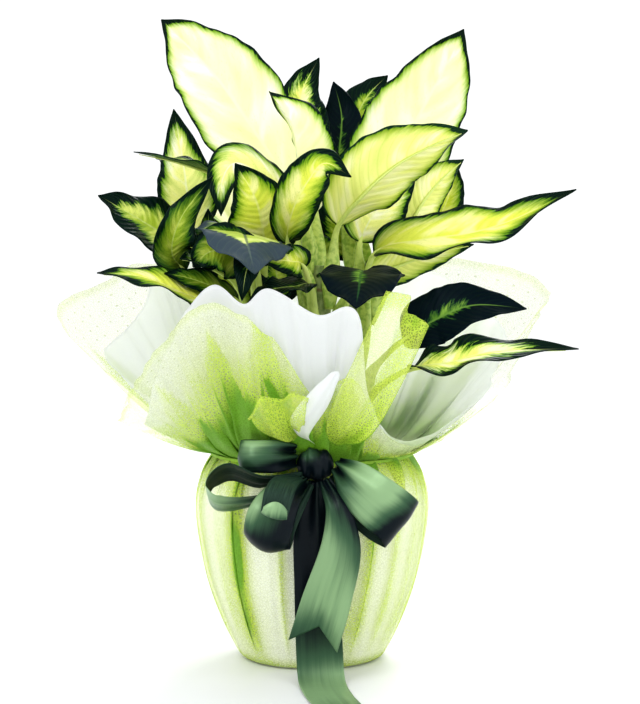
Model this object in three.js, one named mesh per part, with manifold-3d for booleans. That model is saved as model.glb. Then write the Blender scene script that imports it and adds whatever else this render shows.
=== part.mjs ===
// Potted dieffenbachia, gift wrapped: a variegated house plant of three canes in a plastic pot,
// the pot stood in a sheet of white paper and a sheet of green netting that are gathered and tied
// over its rim, with a satin bow in front.
// Millimetres, +Z up, front towards -Y, origin in the middle of the underside.
import * as THREE from "three";
import { mergeVertices } from "three/addons/utils/BufferGeometryUtils.js";
import Module from "manifold-3d";

// ---- driving dimensions -------------------------------------------------------------------
const GAP = 0.35; // clearance between pieces that lie on each other

const SHEET = 0.9; // wall drawn for the paper and for the netting
const NECK_HEIGHT = 178; // where the wrapping is tied
const NECK_RADIUS = 83;
const BASE_RADIUS = 55; // flat underside of the wrapping
const NET_LIFT = 5; // the netting stands off the paper by this much at the rim

const POT_HEIGHT = 166;
const POT_RIM_RADIUS = 78;
const POT_BASE_RADIUS = 54;
const POT_WALL = 1.8;
const POT_FLOOR = 2.8;
const POT_FOOT_BEVEL = 2;
const POT_BAND = 13; // height of the rim band
const BAND_STEP = 3; // the band stands out from the wall by this much
const BAND_BEVEL = 1.5;
const POT_SIDES = 24;

const SOIL_BELOW_RIM = 14;
const SOIL_HEAP = 2; // the soil rises by this much to its middle
const SOIL_SHOULDER = 12; // width of the sloping border of the soil
const SOIL_SHOULDER_DROP = 3;

const CANE_RADIUS = 8.5;
const CANE_TOP = 336;
const CANE_PLANTED = 60; // length of cane below the soil
const CANE_SIDES = 12;
const SCARS = 4;
const SCAR_WIDTH = 1.6;
const SCAR_DEPTH = 0.3;
const CROWN_HEIGHT = 6; // tapered top of a cane
const CROWN_TAPER = 3;

const BLADE = 0.9; // thickness of a leaf blade
const STALK_RADIUS = 2.7;
const SHOULDER = 0.55; // leaf outline: rise of the width at the stalk
const TAPER = 1.0; // and its fall towards the tip
const TIP_HALF_WIDTH = 0.4;
const BEND_REACH = 0.32; // where the stalk bends, as shares of its reach
const BEND_RISE = 0.52; // and of its rise
const WAVE_FADES_BELOW = 12; // half width under which the wave of the margin fades

const RIBBON = 0.8; // thickness of the satin
const TIE_HEIGHT = 2.4; // cord round the neck
const TIE_THICKNESS = 1.8;
const TIE_CLEARANCE = 2.2; // over the neck, so that it lies on the swell below it
const TIE_DROP = 1.7; // middle of the cord below the neck
const TIE_SIDES = 32;

const DEGREE = Math.PI / 180;

const floorOfPot = 2 * (SHEET + GAP);
const wrapThickness = 2 * SHEET + GAP;
const soilTop = floorOfPot + POT_HEIGHT - SOIL_BELOW_RIM;

const wasm = await Module();
wasm.setup();

// ---- finishes -----------------------------------------------------------------------------
const finish = (color, roughness) => new THREE.MeshStandardMaterial({ color, roughness, metalness: 0 });
const cream = finish(0xeef3b4, 0.38);
const green = finish(0x8fae2c, 0.4);
const dark = finish(0x0f3a2a, 0.32);
const caneGreen = finish(0x8ea35c, 0.6);
const potPlastic = finish(0x2b2622, 0.55);
const soilBrown = finish(0x3a2c20, 0.95);
const paperWhite = finish(0xf5f6f4, 0.85);
const netLime = finish(0xcbe66a, 0.8);
const satinGreen = finish(0x35533d, 0.35);

const root = new THREE.Group();

function addPiece(name, geometry, material) {
  const mesh = new THREE.Mesh(geometry, material);
  mesh.name = name;
  root.add(mesh);
}

// ---- solids made of rings -------------------------------------------------------------------
// A closed body through a row of rings with the same number of points, closed at each end by a
// fan. flip(row, k) turns the diagonal of one quad, so that the two faces of a thin wall are
// split alike and never cross.
function ringSolid(rings, flip = () => false) {
  const around = rings[0].length;
  const positions = rings.flat().flatMap((p) => [p.x, p.y, p.z]);
  const index = [];
  for (let row = 0; row + 1 < rings.length; row++) {
    for (let k = 0; k < around; k++) {
      const next = (k + 1) % around;
      const a = row * around + k;
      const b = row * around + next;
      const c = a + around;
      const d = b + around;
      if (flip(row, k)) index.push(a, b, c, b, d, c);
      else index.push(a, b, d, a, d, c);
    }
  }
  for (const [row, inward] of [[0, true], [rings.length - 1, false]]) {
    const centre = new THREE.Vector3();
    for (const p of rings[row]) centre.addScaledVector(p, 1 / around);
    const middle = positions.length / 3;
    positions.push(centre.x, centre.y, centre.z);
    for (let k = 0; k < around; k++) {
      const a = row * around + k;
      const b = row * around + ((k + 1) % around);
      index.push(middle, ...(inward ? [b, a] : [a, b]));
    }
  }
  const geometry = new THREE.BufferGeometry();
  geometry.setAttribute("position", new THREE.Float32BufferAttribute(positions, 3));
  geometry.setIndex(index);
  return geometry;
}

// Section points run over the top from the left edge to the right and back underneath.
const isUnderside = (ring, k) => k >= ring / 2;

// ---- pot, soil and canes ----------------------------------------------------------------------
function lathe(profile, segments) {
  const geometry = new THREE.LatheGeometry(profile.map(([r, z]) => new THREE.Vector2(r, z)), segments);
  return geometry.rotateX(Math.PI / 2);
}

function potRadius(height) {
  const share = height / (POT_HEIGHT - POT_BAND);
  return POT_BASE_RADIUS + (POT_RIM_RADIUS - BAND_STEP - POT_BASE_RADIUS) * share;
}

function makePot() {
  const band = POT_HEIGHT - POT_BAND;
  const inside = POT_RIM_RADIUS - POT_WALL;
  const profile = [
    [0, 0], [POT_BASE_RADIUS - POT_FOOT_BEVEL, 0], [POT_BASE_RADIUS, POT_FOOT_BEVEL],
    [potRadius(band), band], [POT_RIM_RADIUS, band + BAND_BEVEL], [POT_RIM_RADIUS, POT_HEIGHT],
    [inside, POT_HEIGHT], [inside, band + POT_WALL + BAND_BEVEL], [potRadius(band) - POT_WALL, band],
    [POT_BASE_RADIUS - POT_WALL, POT_FLOOR], [0, POT_FLOOR], [0, 0],
  ];
  addPiece("pot", lathe(profile, POT_SIDES).translate(0, 0, floorOfPot), potPlastic);
}

// Each cane leans a little away from the middle of the pot.
const CANES = {
  left: { foot: [-34, 4], head: [-47, 2] },
  centre: { foot: [6, -22], head: [8, -16] },
  right: { foot: [30, 22], head: [42, 26] },
};
const caneBottom = soilTop - CANE_PLANTED;

function caneAxis(cane, height) {
  const share = (height - caneBottom) / (CANE_TOP - caneBottom);
  const [x, y] = cane.foot.map((from, i) => THREE.MathUtils.lerp(from, cane.head[i], share));
  return new THREE.Vector3(x, y, height);
}

// A cane through rings of the given [height, radius].
function caneSolid(cane, profile) {
  const rings = profile.map(([height, radius]) =>
    Array.from({ length: CANE_SIDES }, (_, k) => {
      const angle = (2 * Math.PI * k) / CANE_SIDES;
      const out = new THREE.Vector3(Math.cos(angle), Math.sin(angle), 0);
      return caneAxis(cane, height).addScaledVector(out, radius);
    }));
  return ringSolid(rings);
}

// A cane is ringed by the scars of fallen leaves.
function scarredProfile() {
  const profile = [[caneBottom, CANE_RADIUS - SCAR_DEPTH]];
  for (let i = 1; i <= SCARS; i++) {
    const height = THREE.MathUtils.lerp(soilTop, CANE_TOP, i / (SCARS + 1));
    profile.push([height - SCAR_WIDTH, CANE_RADIUS - SCAR_DEPTH], [height, CANE_RADIUS]);
  }
  profile.push([CANE_TOP - CROWN_HEIGHT, CANE_RADIUS - SCAR_DEPTH], [CANE_TOP, CANE_RADIUS - CROWN_TAPER]);
  return profile;
}

function toManifold(geometry) {
  const bare = geometry.clone();
  bare.deleteAttribute("normal");
  bare.deleteAttribute("uv");
  const merged = mergeVertices(bare, 1e-4);
  const mesh = new wasm.Mesh({
    numProp: 3,
    vertProperties: new Float32Array(merged.getAttribute("position").array),
    triVerts: new Uint32Array(merged.index.array),
  });
  return new wasm.Manifold(mesh);
}

function fromManifold(solid) {
  const mesh = solid.getMesh();
  const geometry = new THREE.BufferGeometry();
  geometry.setAttribute("position", new THREE.BufferAttribute(mesh.vertProperties, 3));
  geometry.setIndex(new THREE.BufferAttribute(mesh.triVerts, 1));
  return geometry;
}

function makeSoilAndCanes() {
  const bottom = floorOfPot + POT_FLOOR + GAP;
  const rise = soilTop - bottom;
  const sideGap = POT_WALL + 2 * GAP;
  const edge = potRadius(rise) - sideGap;
  const profile = [
    [0, 0], [potRadius(POT_FLOOR) - sideGap, 0], [edge, rise - SOIL_SHOULDER_DROP],
    [edge - SOIL_SHOULDER, rise], [0, rise + SOIL_HEAP], [0, 0],
  ];
  let soil = toManifold(lathe(profile, POT_SIDES).translate(0, 0, bottom));
  for (const [name, cane] of Object.entries(CANES)) {
    const hole = [[caneBottom - GAP, CANE_RADIUS + GAP], [CANE_TOP, CANE_RADIUS + GAP]];
    soil = soil.subtract(toManifold(caneSolid(cane, hole)));
    addPiece(`cane_${name}`, caneSolid(cane, scarredProfile()), caneGreen);
  }
  addPiece("soil", fromManifold(soil), soilBrown);
}

// ---- leaves -----------------------------------------------------------------------------------
// Each leaf is one solid: a stalk that starts at its cane at height foot, and a blade that starts
// at the first midrib point. face is the way that the upper side looks, fold is how far the two
// halves close towards it, curl how far their outer parts turn further, in degrees, and wave is
// the height of the waved margin.
const VIEWER = [0, -1, 0.35];
const COMMON = { curl: 0, wave: 2 };
const LEAVES = [
  { name: "top_left", cane: "centre", foot: 322, width: 87, face: [0.1, -1, 0.35], fold: 5, curl: 8,
    tone: cream, midrib: [[-13, 2, 394], [-46, 28, 445], [-79, 42, 492], [-108, 48, 524], [-130, 42, 546]] },
  { name: "top_half", cane: "centre", foot: 330, width: 68, face: [-0.71, -0.7, 0.1], fold: -45, wave: 1,
    tone: cream, midrib: [[-6, -22, 387], [-12, -27, 425], [-18, -24, 456], [-36, -12, 482]] },
  { name: "top_middle", cane: "centre", foot: 314, width: 50, face: VIEWER, fold: 18,
    tone: dark, midrib: [[0, 45, 399], [-9, 66, 452], [-10, 76, 483], [6, 84, 516]] },
  { name: "top_dark", cane: "right", foot: 316, width: 46, face: VIEWER, fold: 12,
    tone: dark, midrib: [[21, 62, 399], [24, 84, 435], [26, 100, 466], [19, 104, 496]] },
  { name: "top_back", cane: "right", foot: 284, width: 45, face: VIEWER, fold: 10,
    tone: dark, midrib: [[27, 84, 413], [36, 112, 455], [49, 124, 483], [68, 132, 503]] },
  { name: "top_right", cane: "right", foot: 326, width: 88, face: [-0.1, -1, 0.35], fold: 5, curl: 8,
    tone: cream, midrib: [[43, 34, 372], [66, 50, 415], [92, 60, 462], [116, 64, 506], [132, 58, 539]] },
  { name: "right_front", cane: "centre", foot: 300, width: 70, face: [-0.2, 0.9, 0.4], fold: 22,
    tone: green, midrib: [[22, -34, 370], [41, -54, 395], [66, -66, 418], [96, -72, 435], [127, -70, 448]] },
  { name: "right_inner", cane: "right", foot: 306, width: 52, face: VIEWER, fold: 10, wave: 1,
    tone: cream, midrib: [[41, 4, 355], [53, 10, 380], [70, 16, 403], [94, 18, 429]] },
  { name: "right_back", cane: "right", foot: 292, width: 46, face: [-0.2, 0.9, 0.4], fold: 10, wave: 1,
    tone: green, midrib: [[77, 18, 358], [93, 22, 387], [110, 30, 408], [131, 38, 426]] },
  { name: "right_outer", cane: "right", foot: 284, width: 32, face: VIEWER, fold: 10, wave: 1,
    tone: green, midrib: [[98, 40, 354], [113, 52, 380], [122, 60, 401], [127, 64, 421]] },
  { name: "right_long", cane: "right", foot: 240, width: 60, face: [-0.1, -0.6, 0.8], fold: 12, wave: 3,
    tone: cream,
    midrib: [[52, -18, 346], [90, -32, 358], [131, -42, 364], [168, -48, 376], [218, -50, 400]] },
  { name: "right_low", cane: "right", foot: 272, width: 40, face: [0, 0.9, 0.4], fold: 8, wave: 1,
    tone: green, midrib: [[48, 4, 325], [75, 12, 336], [106, 18, 346], [139, 20, 353]] },
  { name: "front_dark", cane: "centre", foot: 268, width: 70, face: [0, -0.5, 0.85], fold: 6, curl: -10,
    tone: dark, midrib: [[42, -42, 331], [40, -72, 331], [38, -104, 321], [35, -124, 306]] },
  { name: "right_dark", cane: "right", foot: 216, width: 54, face: [0, -0.75, 0.65], fold: 8, wave: 1,
    tone: dark, midrib: [[75, -48, 275], [103, -52, 293], [134, -56, 305], [177, -58, 302]] },
  { name: "right_lowest", cane: "right", foot: 204, width: 48, face: [0, -0.45, 0.9], fold: 12, wave: 3,
    tone: green, midrib: [[82, -80, 255], [112, -94, 261], [148, -98, 270], [215, -100, 272]] },
  { name: "left_dark", cane: "left", foot: 296, width: 60, face: [0, -0.65, 0.75], fold: 10,
    tone: dark, midrib: [[-98, -15, 349], [-126, -22, 364], [-152, -28, 380], [-178, -32, 395]] },
  { name: "left_upright", cane: "left", foot: 306, width: 52, face: VIEWER, fold: 8,
    tone: cream, midrib: [[-98, 12, 361], [-106, 20, 391], [-111, 26, 425], [-119, 32, 469]] },
  { name: "left_sliver", cane: "left", foot: 324, width: 34, face: [0, -0.1, 1], fold: 10, wave: 1,
    tone: green, midrib: [[-57, -6, 401], [-85, -18, 415], [-117, -28, 425], [-148, -34, 431]] },
  { name: "left_arch", cane: "centre", foot: 284, width: 45, face: [0, -0.7, 0.7], fold: 8, curl: -8, wave: 1,
    tone: cream,
    midrib: [[-20, -24, 379], [-36, -36, 406], [-61, -50, 422], [-73, -62, 408], [-74, -68, 378]] },
  { name: "left_front", cane: "left", foot: 291, width: 60, face: VIEWER, fold: 8,
    tone: cream, midrib: [[-39, -36, 344], [-41, -52, 371], [-47, -66, 395], [-62, -78, 421]] },
  { name: "centre_twist", cane: "centre", foot: 302, width: 40, face: VIEWER, fold: 10, wave: 1,
    tone: dark, midrib: [[-20, -51, 356], [-15, -79, 384], [-2, -94, 408], [11, -98, 421], [32, -96, 410]] },
  { name: "front_blue", cane: "left", foot: 257, width: 80, face: [0, -0.4, 0.9], fold: 4, curl: -20, wave: 3,
    tone: dark, midrib: [[-54, -58, 359], [-54, -92, 364], [-50, -122, 355], [-44, -146, 334]] },
  { name: "left_curl", cane: "left", foot: 234, width: 34, face: [0.3, -0.9, 0.3], fold: 14, wave: 3,
    tone: green, midrib: [[-103, -73, 333], [-113, -86, 351], [-104, -92, 379], [-80, -88, 410]] },
  { name: "left_low", cane: "left", foot: 204, width: 42, face: [0, -0.4, 0.9], fold: 8,
    tone: green, midrib: [[-70, -92, 303], [-101, -106, 317], [-134, -117, 331], [-170, -122, 334]] },
  { name: "left_under", cane: "left", foot: 271, width: 38, face: [0, -0.6, 0.8], fold: 8,
    tone: dark, midrib: [[-67, -46, 327], [-81, -79, 338], [-91, -96, 343], [-105, -108, 345]] },
  { name: "left_pale", cane: "left", foot: 222, width: 26, face: [0, -0.8, 0.6], fold: 8, wave: 1,
    tone: green, midrib: [[-60, -66, 308], [-76, -88, 320], [-98, -99, 329], [-118, -103, 333]] },
  { name: "front_tip", cane: "centre", foot: 232, width: 26, face: [0, -0.5, 0.85], fold: 8, wave: 1,
    tone: dark, midrib: [[0, -64, 320], [-14, -88, 322], [-33, -108, 320], [-51, -120, 310]] },
  { name: "centre_low", cane: "centre", foot: 256, width: 30, face: VIEWER, fold: 8, wave: 1,
    tone: green, midrib: [[-6, -66, 336], [-18, -80, 342], [-43, -94, 344]] },
  { name: "left_bud", cane: "left", foot: 286, width: 22, face: VIEWER, fold: 20, wave: 0,
    tone: green, midrib: [[-78, -26, 346], [-85, -36, 362], [-86, -40, 384]] },
  { name: "back_left", cane: "left", foot: 314, width: 64, face: [0.3, -0.4, 0.85], fold: 10,
    tone: cream, midrib: [[-62, 48, 360], [-90, 80, 396], [-116, 106, 420], [-142, 126, 428]] },
  { name: "back_middle", cane: "centre", foot: 294, width: 62, face: [0, -0.5, 0.85], fold: 10,
    tone: cream, midrib: [[-2, 66, 362], [-12, 102, 390], [-22, 136, 408], [-30, 166, 410]] },
  { name: "back_right", cane: "right", foot: 268, width: 64, face: [-0.3, -0.4, 0.85], fold: 10,
    tone: cream, midrib: [[68, 78, 352], [94, 108, 386], [116, 136, 404], [138, 158, 402]] },
  { name: "back_low_left", cane: "left", foot: 232, width: 54, face: [0, -0.3, 1], fold: 8, wave: 3,
    tone: green, midrib: [[-50, 92, 352], [-58, 124, 364], [-66, 154, 362], [-74, 180, 350]] },
  { name: "back_low_right", cane: "right", foot: 228, width: 54, face: [0, -0.3, 1], fold: 8, wave: 3,
    tone: green, midrib: [[34, 98, 356], [42, 130, 366], [52, 160, 362], [60, 186, 346]] },
];

const STALK_STATIONS = 3;
const BLADE_STATIONS = 10;
const SMALL_LEAF = 50; // leaves narrower than this have fewer stations
const SMALL_BLADE_STATIONS = 8;
const FIRST_SHARE = 0.02; // of the blade, at its first station
const ACROSS = [-1, -0.5, 0, 0.5, 1];
const WAVES_PER_BLADE = 2.5;

// The stalk rises steeply beside its cane, then leans out to the blade.
function leafPath(leaf) {
  const neck = new THREE.Vector3(...leaf.midrib[0]);
  const axis = caneAxis(CANES[leaf.cane], leaf.foot);
  const out = neck.clone().sub(axis).setZ(0).normalize();
  const touching = (steepness) => axis.clone()
    .addScaledVector(out, CANE_RADIUS - SCAR_DEPTH + GAP + STALK_RADIUS * steepness);
  const bend = new THREE.Vector3().lerpVectors(touching(1), neck, BEND_REACH);
  bend.z = THREE.MathUtils.lerp(leaf.foot, neck.z, BEND_RISE);
  const foot = touching(bend.clone().sub(touching(1)).normalize().z);
  const points = [foot, bend, ...leaf.midrib.map((p) => new THREE.Vector3(...p))];
  return new THREE.CatmullRomCurve3(points, false, "catmullrom", 0.5);
}

function halfWidth(leaf, t) {
  const widest = SHOULDER / (SHOULDER + TAPER);
  const rise = Math.pow(t / widest, SHOULDER);
  const fall = Math.pow((1 - t) / (1 - widest), TAPER);
  return Math.max((leaf.width / 2) * rise * fall, THREE.MathUtils.lerp(STALK_RADIUS, TIP_HALF_WIDTH, t));
}

function leafRing(leaf, path, u, t) {
  const middle = path.getPoint(u);
  const along = path.getTangent(u);
  const left = new THREE.Vector3().crossVectors(along, new THREE.Vector3(...leaf.face)).normalize();
  const up = new THREE.Vector3().crossVectors(left, along).normalize();
  const ring = [];
  const place = (side, over) => middle.clone().addScaledVector(left, side).addScaledVector(up, over);
  if (t <= 0) {
    for (let k = 0; k < 2 * ACROSS.length; k++) {
      const angle = Math.PI - (Math.PI * (k + 0.5)) / ACROSS.length;
      ring.push(place(STALK_RADIUS * Math.cos(angle), STALK_RADIUS * Math.sin(angle)));
    }
    return ring;
  }
  const half = halfWidth(leaf, t);
  const fade = Math.min(1, half / WAVE_FADES_BELOW);
  const wave = leaf.wave * Math.sin(2 * Math.PI * WAVES_PER_BLADE * t) * fade;
  const blade = (v, lift) => {
    const tilt = (leaf.fold + (leaf.curl * Math.abs(v)) / 2) * DEGREE;
    const reach = Math.abs(v) * half;
    return place(Math.sign(v) * reach * Math.cos(tilt), reach * Math.sin(tilt) + wave * v * v + lift);
  };
  for (const v of ACROSS) ring.push(blade(v, BLADE / 2));
  for (const v of [...ACROSS].reverse()) ring.push(blade(v, -BLADE / 2));
  return ring;
}

function makeLeaf(leaf) {
  const path = leafPath(leaf);
  const stalkShare = 2 / (leaf.midrib.length + 1);
  const rings = [];
  for (let i = 0; i < STALK_STATIONS; i++) {
    rings.push(leafRing(leaf, path, (stalkShare * i) / STALK_STATIONS, 0));
  }
  const stations = leaf.width < SMALL_LEAF ? SMALL_BLADE_STATIONS : BLADE_STATIONS;
  for (let i = 0; i < stations; i++) {
    const t = i / (stations - 1);
    rings.push(leafRing(leaf, path, stalkShare + (1 - stalkShare) * t, Math.max(t, FIRST_SHARE)));
  }
  const around = 2 * ACROSS.length;
  addPiece(`leaf_${leaf.name}`, ringSolid(rings, (row, k) => isUnderside(around, k)), leaf.tone);
}

// ---- wrapping ------------------------------------------------------------------------------------
// The rim of the paper, going round the pot: azimuth in degrees from +X, radius and height. Each
// point is the crest of a pleat. The last number is how much of the slope from the neck to the
// rim the netting covers.
const RIM = [
  [3, 184, 294, 1.04], [20, 204, 316, 1.05], [40, 168, 346, 0.98], [62, 142, 332, 0.95],
  [85, 132, 346, 0.93], [108, 136, 330, 0.95], [132, 146, 340, 0.95], [158, 150, 371, 0.85],
  [170, 168, 330, 1.0], [184, 205, 301, 1.03], [191, 180, 262, 1.03], [197, 152, 238, 1.03],
  [203, 163, 214, 1.04], [216, 158, 262, 1.0], [232, 162, 307, 0.96], [241, 157, 327, 0.93],
  [249, 150, 311, 0.97], [257, 146, 323, 0.78], [272, 137, 302, 0.5], [285, 134, 304, 0.8],
  [295, 110, 232, 1.0], [318, 104, 194, 1.05], [340, 150, 226, 1.03], [352, 168, 262, 1.03],
];
const COLUMNS = 2 * RIM.length;

// Outer silhouette of the wrapped pot below the neck: radius and height.
const BODY = [[64, 6], [78, 38], [90.5, 76], [98.5, 128], [94, 158], [NECK_RADIUS, NECK_HEIGHT]];
const SLOPE_LEVELS = [0.3, 0.65, 1];
const FLARE_POWER = 0.9; // the radius grows a little faster than the level above the neck
const RISE_POWER = 1.1; // and the height a little slower
const BODY_PLEAT = 1.5;
const RIM_PLEAT = 7;

function rimColumns() {
  const crests = RIM.map(([azimuth, radius, height]) =>
    new THREE.Vector3(radius * Math.cos(azimuth * DEGREE), radius * Math.sin(azimuth * DEGREE), height));
  const curve = new THREE.CatmullRomCurve3(crests, true, "catmullrom", 0.5);
  const covers = RIM.map(([, , , cover]) => cover);
  return Array.from({ length: COLUMNS }, (_, j) => {
    const rim = curve.getPoint(j / COLUMNS);
    const next = covers[Math.ceil(j / 2) % covers.length];
    return {
      rim,
      angle: Math.atan2(rim.y, rim.x),
      radius: Math.hypot(rim.x, rim.y),
      cover: (covers[Math.floor(j / 2)] + next) / 2,
      valley: j % 2,
    };
  });
}

// Rows of points up the inner face of the wrapping: the edge of its flat floor, the body, the
// neck and the slope up to the rim. cover says how far up the slope each column goes.
function wrapRows(columns, coverOf) {
  const rows = [];
  const at = (column, radius, height) =>
    new THREE.Vector3(radius * Math.cos(column.angle), radius * Math.sin(column.angle), height);
  rows.push(columns.map((column) => at(column, BASE_RADIUS, wrapThickness)));
  for (const [radius, height] of BODY) {
    const inner = radius - wrapThickness;
    rows.push(columns.map((column) => at(column, inner - BODY_PLEAT * column.valley, height)));
  }
  for (const level of SLOPE_LEVELS) {
    rows.push(columns.map((column) => {
      const s = level * coverOf(column);
      const start = NECK_RADIUS - wrapThickness;
      const pleat = (BODY_PLEAT + (RIM_PLEAT - BODY_PLEAT) * s) * column.valley;
      const radius = start + (column.radius - start) * Math.pow(s, FLARE_POWER) - pleat;
      return at(column, radius, NECK_HEIGHT + (column.rim.z - NECK_HEIGHT) * Math.pow(s, RISE_POWER));
    }));
  }
  return rows;
}

function outward(rows, i, j) {
  const count = rows[i].length;
  if (i === 0) return new THREE.Vector3(0, 0, -1);
  const up = rows[Math.min(i + 1, rows.length - 1)][j].clone().sub(rows[i - 1][j]);
  const round = rows[i][(j + 1) % count].clone().sub(rows[i][(j + count - 1) % count]);
  return round.cross(up).normalize();
}

// One wall of the wrapping: its outer face going up, then its inner face coming down.
function wallSolid(rows, inner, lift) {
  const rowsOfNeck = BODY.length;
  const shifted = (distance) => rows.map((row, i) => row.map((point, j) => {
    const slope = Math.max(0, i - rowsOfNeck) / SLOPE_LEVELS.length;
    return point.clone().addScaledVector(outward(rows, i, j), distance + lift * slope);
  }));
  const outside = shifted(inner + SHEET);
  const inside = shifted(inner).reverse();
  const bands = outside.length;
  return ringSolid([...outside, ...inside], (row) => row >= bands);
}

function makeWrapping() {
  const columns = rimColumns();
  addPiece("paper_wrap", wallSolid(wrapRows(columns, () => 1), 0, 0), paperWhite);
  const netRows = wrapRows(columns, (column) => column.cover);
  addPiece("net_wrap", wallSolid(netRows, SHEET + GAP, NET_LIFT), netLime);
}

function makeTie() {
  const inner = NECK_RADIUS + TIE_CLEARANCE;
  const profile = [
    [inner, -TIE_HEIGHT / 2], [inner + TIE_THICKNESS, -TIE_HEIGHT / 2],
    [inner + TIE_THICKNESS, TIE_HEIGHT / 2], [inner, TIE_HEIGHT / 2], [inner, -TIE_HEIGHT / 2],
  ];
  addPiece("neck_tie", lathe(profile, TIE_SIDES).translate(0, 0, NECK_HEIGHT - TIE_DROP), netLime);
}

// ---- strips: ribbon and folded netting --------------------------------------------------------------
// A strip is a list of stations: centre, direction across, width and how far the middle stands
// proud of the two edges. A notch pulls the middle of the last station back, as a swallowtail.
function stripSolid(stations, steps, thickness, notch = 0) {
  const curveOf = (pick) =>
    new THREE.CatmullRomCurve3(stations.map(pick), false, "catmullrom", 0.5);
  const centres = curveOf((s) => new THREE.Vector3(...s.at));
  const acrosses = curveOf((s) => new THREE.Vector3(...s.across).normalize());
  const sizes = curveOf((s) => new THREE.Vector3(s.width, s.proud ?? 0, 0));
  const rings = [];
  for (let i = 0; i <= steps; i++) {
    const u = i / steps;
    const along = centres.getTangent(u);
    const across = acrosses.getPoint(u).projectOnPlane(along).normalize();
    const up = new THREE.Vector3().crossVectors(across, along).normalize();
    const size = sizes.getPoint(u);
    const middle = centres.getPoint(u);
    const back = i === steps ? -notch : 0;
    const place = (v, lift) => middle.clone()
      .addScaledVector(across, (v * size.x) / 2)
      .addScaledVector(up, lift + size.y * (1 - v * v))
      .addScaledVector(along, back * (1 - Math.abs(v)));
    const top = [-1, 0, 1].map((v) => place(v, thickness / 2));
    const under = [1, 0, -1].map((v) => place(v, -thickness / 2));
    rings.push([...top, ...under]);
  }
  return ringSolid(rings, (row, k) => isUnderside(6, k));
}

const KNOT = { at: [3, -98.6, 178], half: [15, 9.6, 13], sides: 12, bands: 8 };
const RIBBON_WIDTH = 42;
const SWALLOWTAIL = 18;

const RIBBON_PIECES = [
  { name: "loop_upper_left", steps: 12, stations: [
    { at: [-12.2, -100, 186], across: [0, 0.2, 1], width: 14 },
    { at: [-28, -116, 187], across: [0, 0.2, 1], width: 24, proud: 2 },
    { at: [-48, -118, 187], across: [0, 0.2, 1], width: 24, proud: 3 },
    { at: [-55, -106, 186], across: [0, 0.2, 1], width: 24, proud: 3 },
    { at: [-44, -97, 187], across: [0, 0.2, 1], width: 22, proud: 2 },
    { at: [-12.6, -95.4, 186.5], across: [0, 0.2, 1], width: 12 },
  ] },
  { name: "loop_left", steps: 14, stations: [
    { at: [-8.6, -102, 171], across: [0, -1, 0.3], width: 8 },
    { at: [-40, -114, 166], across: [0, -1, 0.5], width: 30 },
    { at: [-66, -114, 174], across: [0, -1, 0.6], width: 36 },
    { at: [-81, -114, 162], across: [0, -1, 0.6], width: 36 },
    { at: [-74, -116, 149], across: [0, -1, 0.6], width: 34 },
    { at: [-42, -114, 152], across: [0, -1, 0.5], width: 22 },
    { at: [-6.6, -101.5, 167.6], across: [0, -1, 0.3], width: 8 },
  ] },
  { name: "loop_lower_left", steps: 14, stations: [
    { at: [-4, -104, 166.9], across: [-0.4, -1, 0.3], width: 8 },
    { at: [-28, -132, 160], across: [-0.4, -1, 0.2], width: 24 },
    { at: [-49, -136, 146], across: [-0.4, -1, 0.2], width: 32 },
    { at: [-47, -136, 126], across: [-0.4, -1, 0.2], width: 34 },
    { at: [-28, -134, 119], across: [-0.4, -1, 0.2], width: 32 },
    { at: [-12, -128, 134], across: [-0.4, -1, 0.2], width: 24 },
    { at: [-0.5, -104.6, 165.2], across: [-0.4, -1, 0.3], width: 8 },
  ] },
  { name: "loop_right", steps: 14, stations: [
    { at: [19, -102, 178], across: [0.4, 0, 0.9], width: 14 },
    { at: [32, -119, 168], across: [0.55, 0, 0.83], width: 34 },
    { at: [52, -130, 152], across: [0.6, -0.1, 0.79], width: 43 },
    { at: [69, -126, 138], across: [0.62, 0, 0.78], width: 43 },
    { at: [68, -112, 132], across: [0.62, 0, 0.78], width: 43 },
    { at: [46, -105, 144], across: [0.6, 0, 0.8], width: 38 },
    { at: [19, -96, 172], across: [0.4, 0, 0.9], width: 12 },
  ] },
  { name: "tail_front", steps: 10, notch: SWALLOWTAIL, stations: [
    { at: [8, -107, 167], across: [1, 0, 0.1], width: 10 },
    { at: [13, -123, 143], across: [1, 0, 0.1], width: 27, proud: 3 },
    { at: [18, -122, 108], across: [1, 0, 0.15], width: RIBBON_WIDTH, proud: 3 },
    { at: [10, -116, 66], across: [1, 0, 0.2], width: RIBBON_WIDTH, proud: 1 },
    { at: [1, -113, 32], across: [1, 0, 0.25], width: RIBBON_WIDTH },
  ] },
  { name: "tail_long", steps: 16, notch: SWALLOWTAIL, stations: [
    { at: [3.5, -100, 165.0], across: [1, 0, 0], width: 14 },
    { at: [2, -108, 130], across: [1, 0, 0], width: 32, proud: 2 },
    { at: [4, -106, 80], across: [1, 0, 0], width: 36, proud: 1 },
    { at: [6, -101, 34], across: [1, 0, 0], width: 38 },
    { at: [8, -110, 5], across: [1, 0, 0], width: 38 },
    { at: [13, -146, 1.2], across: [1, 0.1, 0], width: 38 },
    { at: [20, -182, 1.2], across: [1, 0.15, 0], width: 38 },
    { at: [27, -218, 1.2], across: [1, 0.15, 0], width: 38 },
  ] },
];

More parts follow.
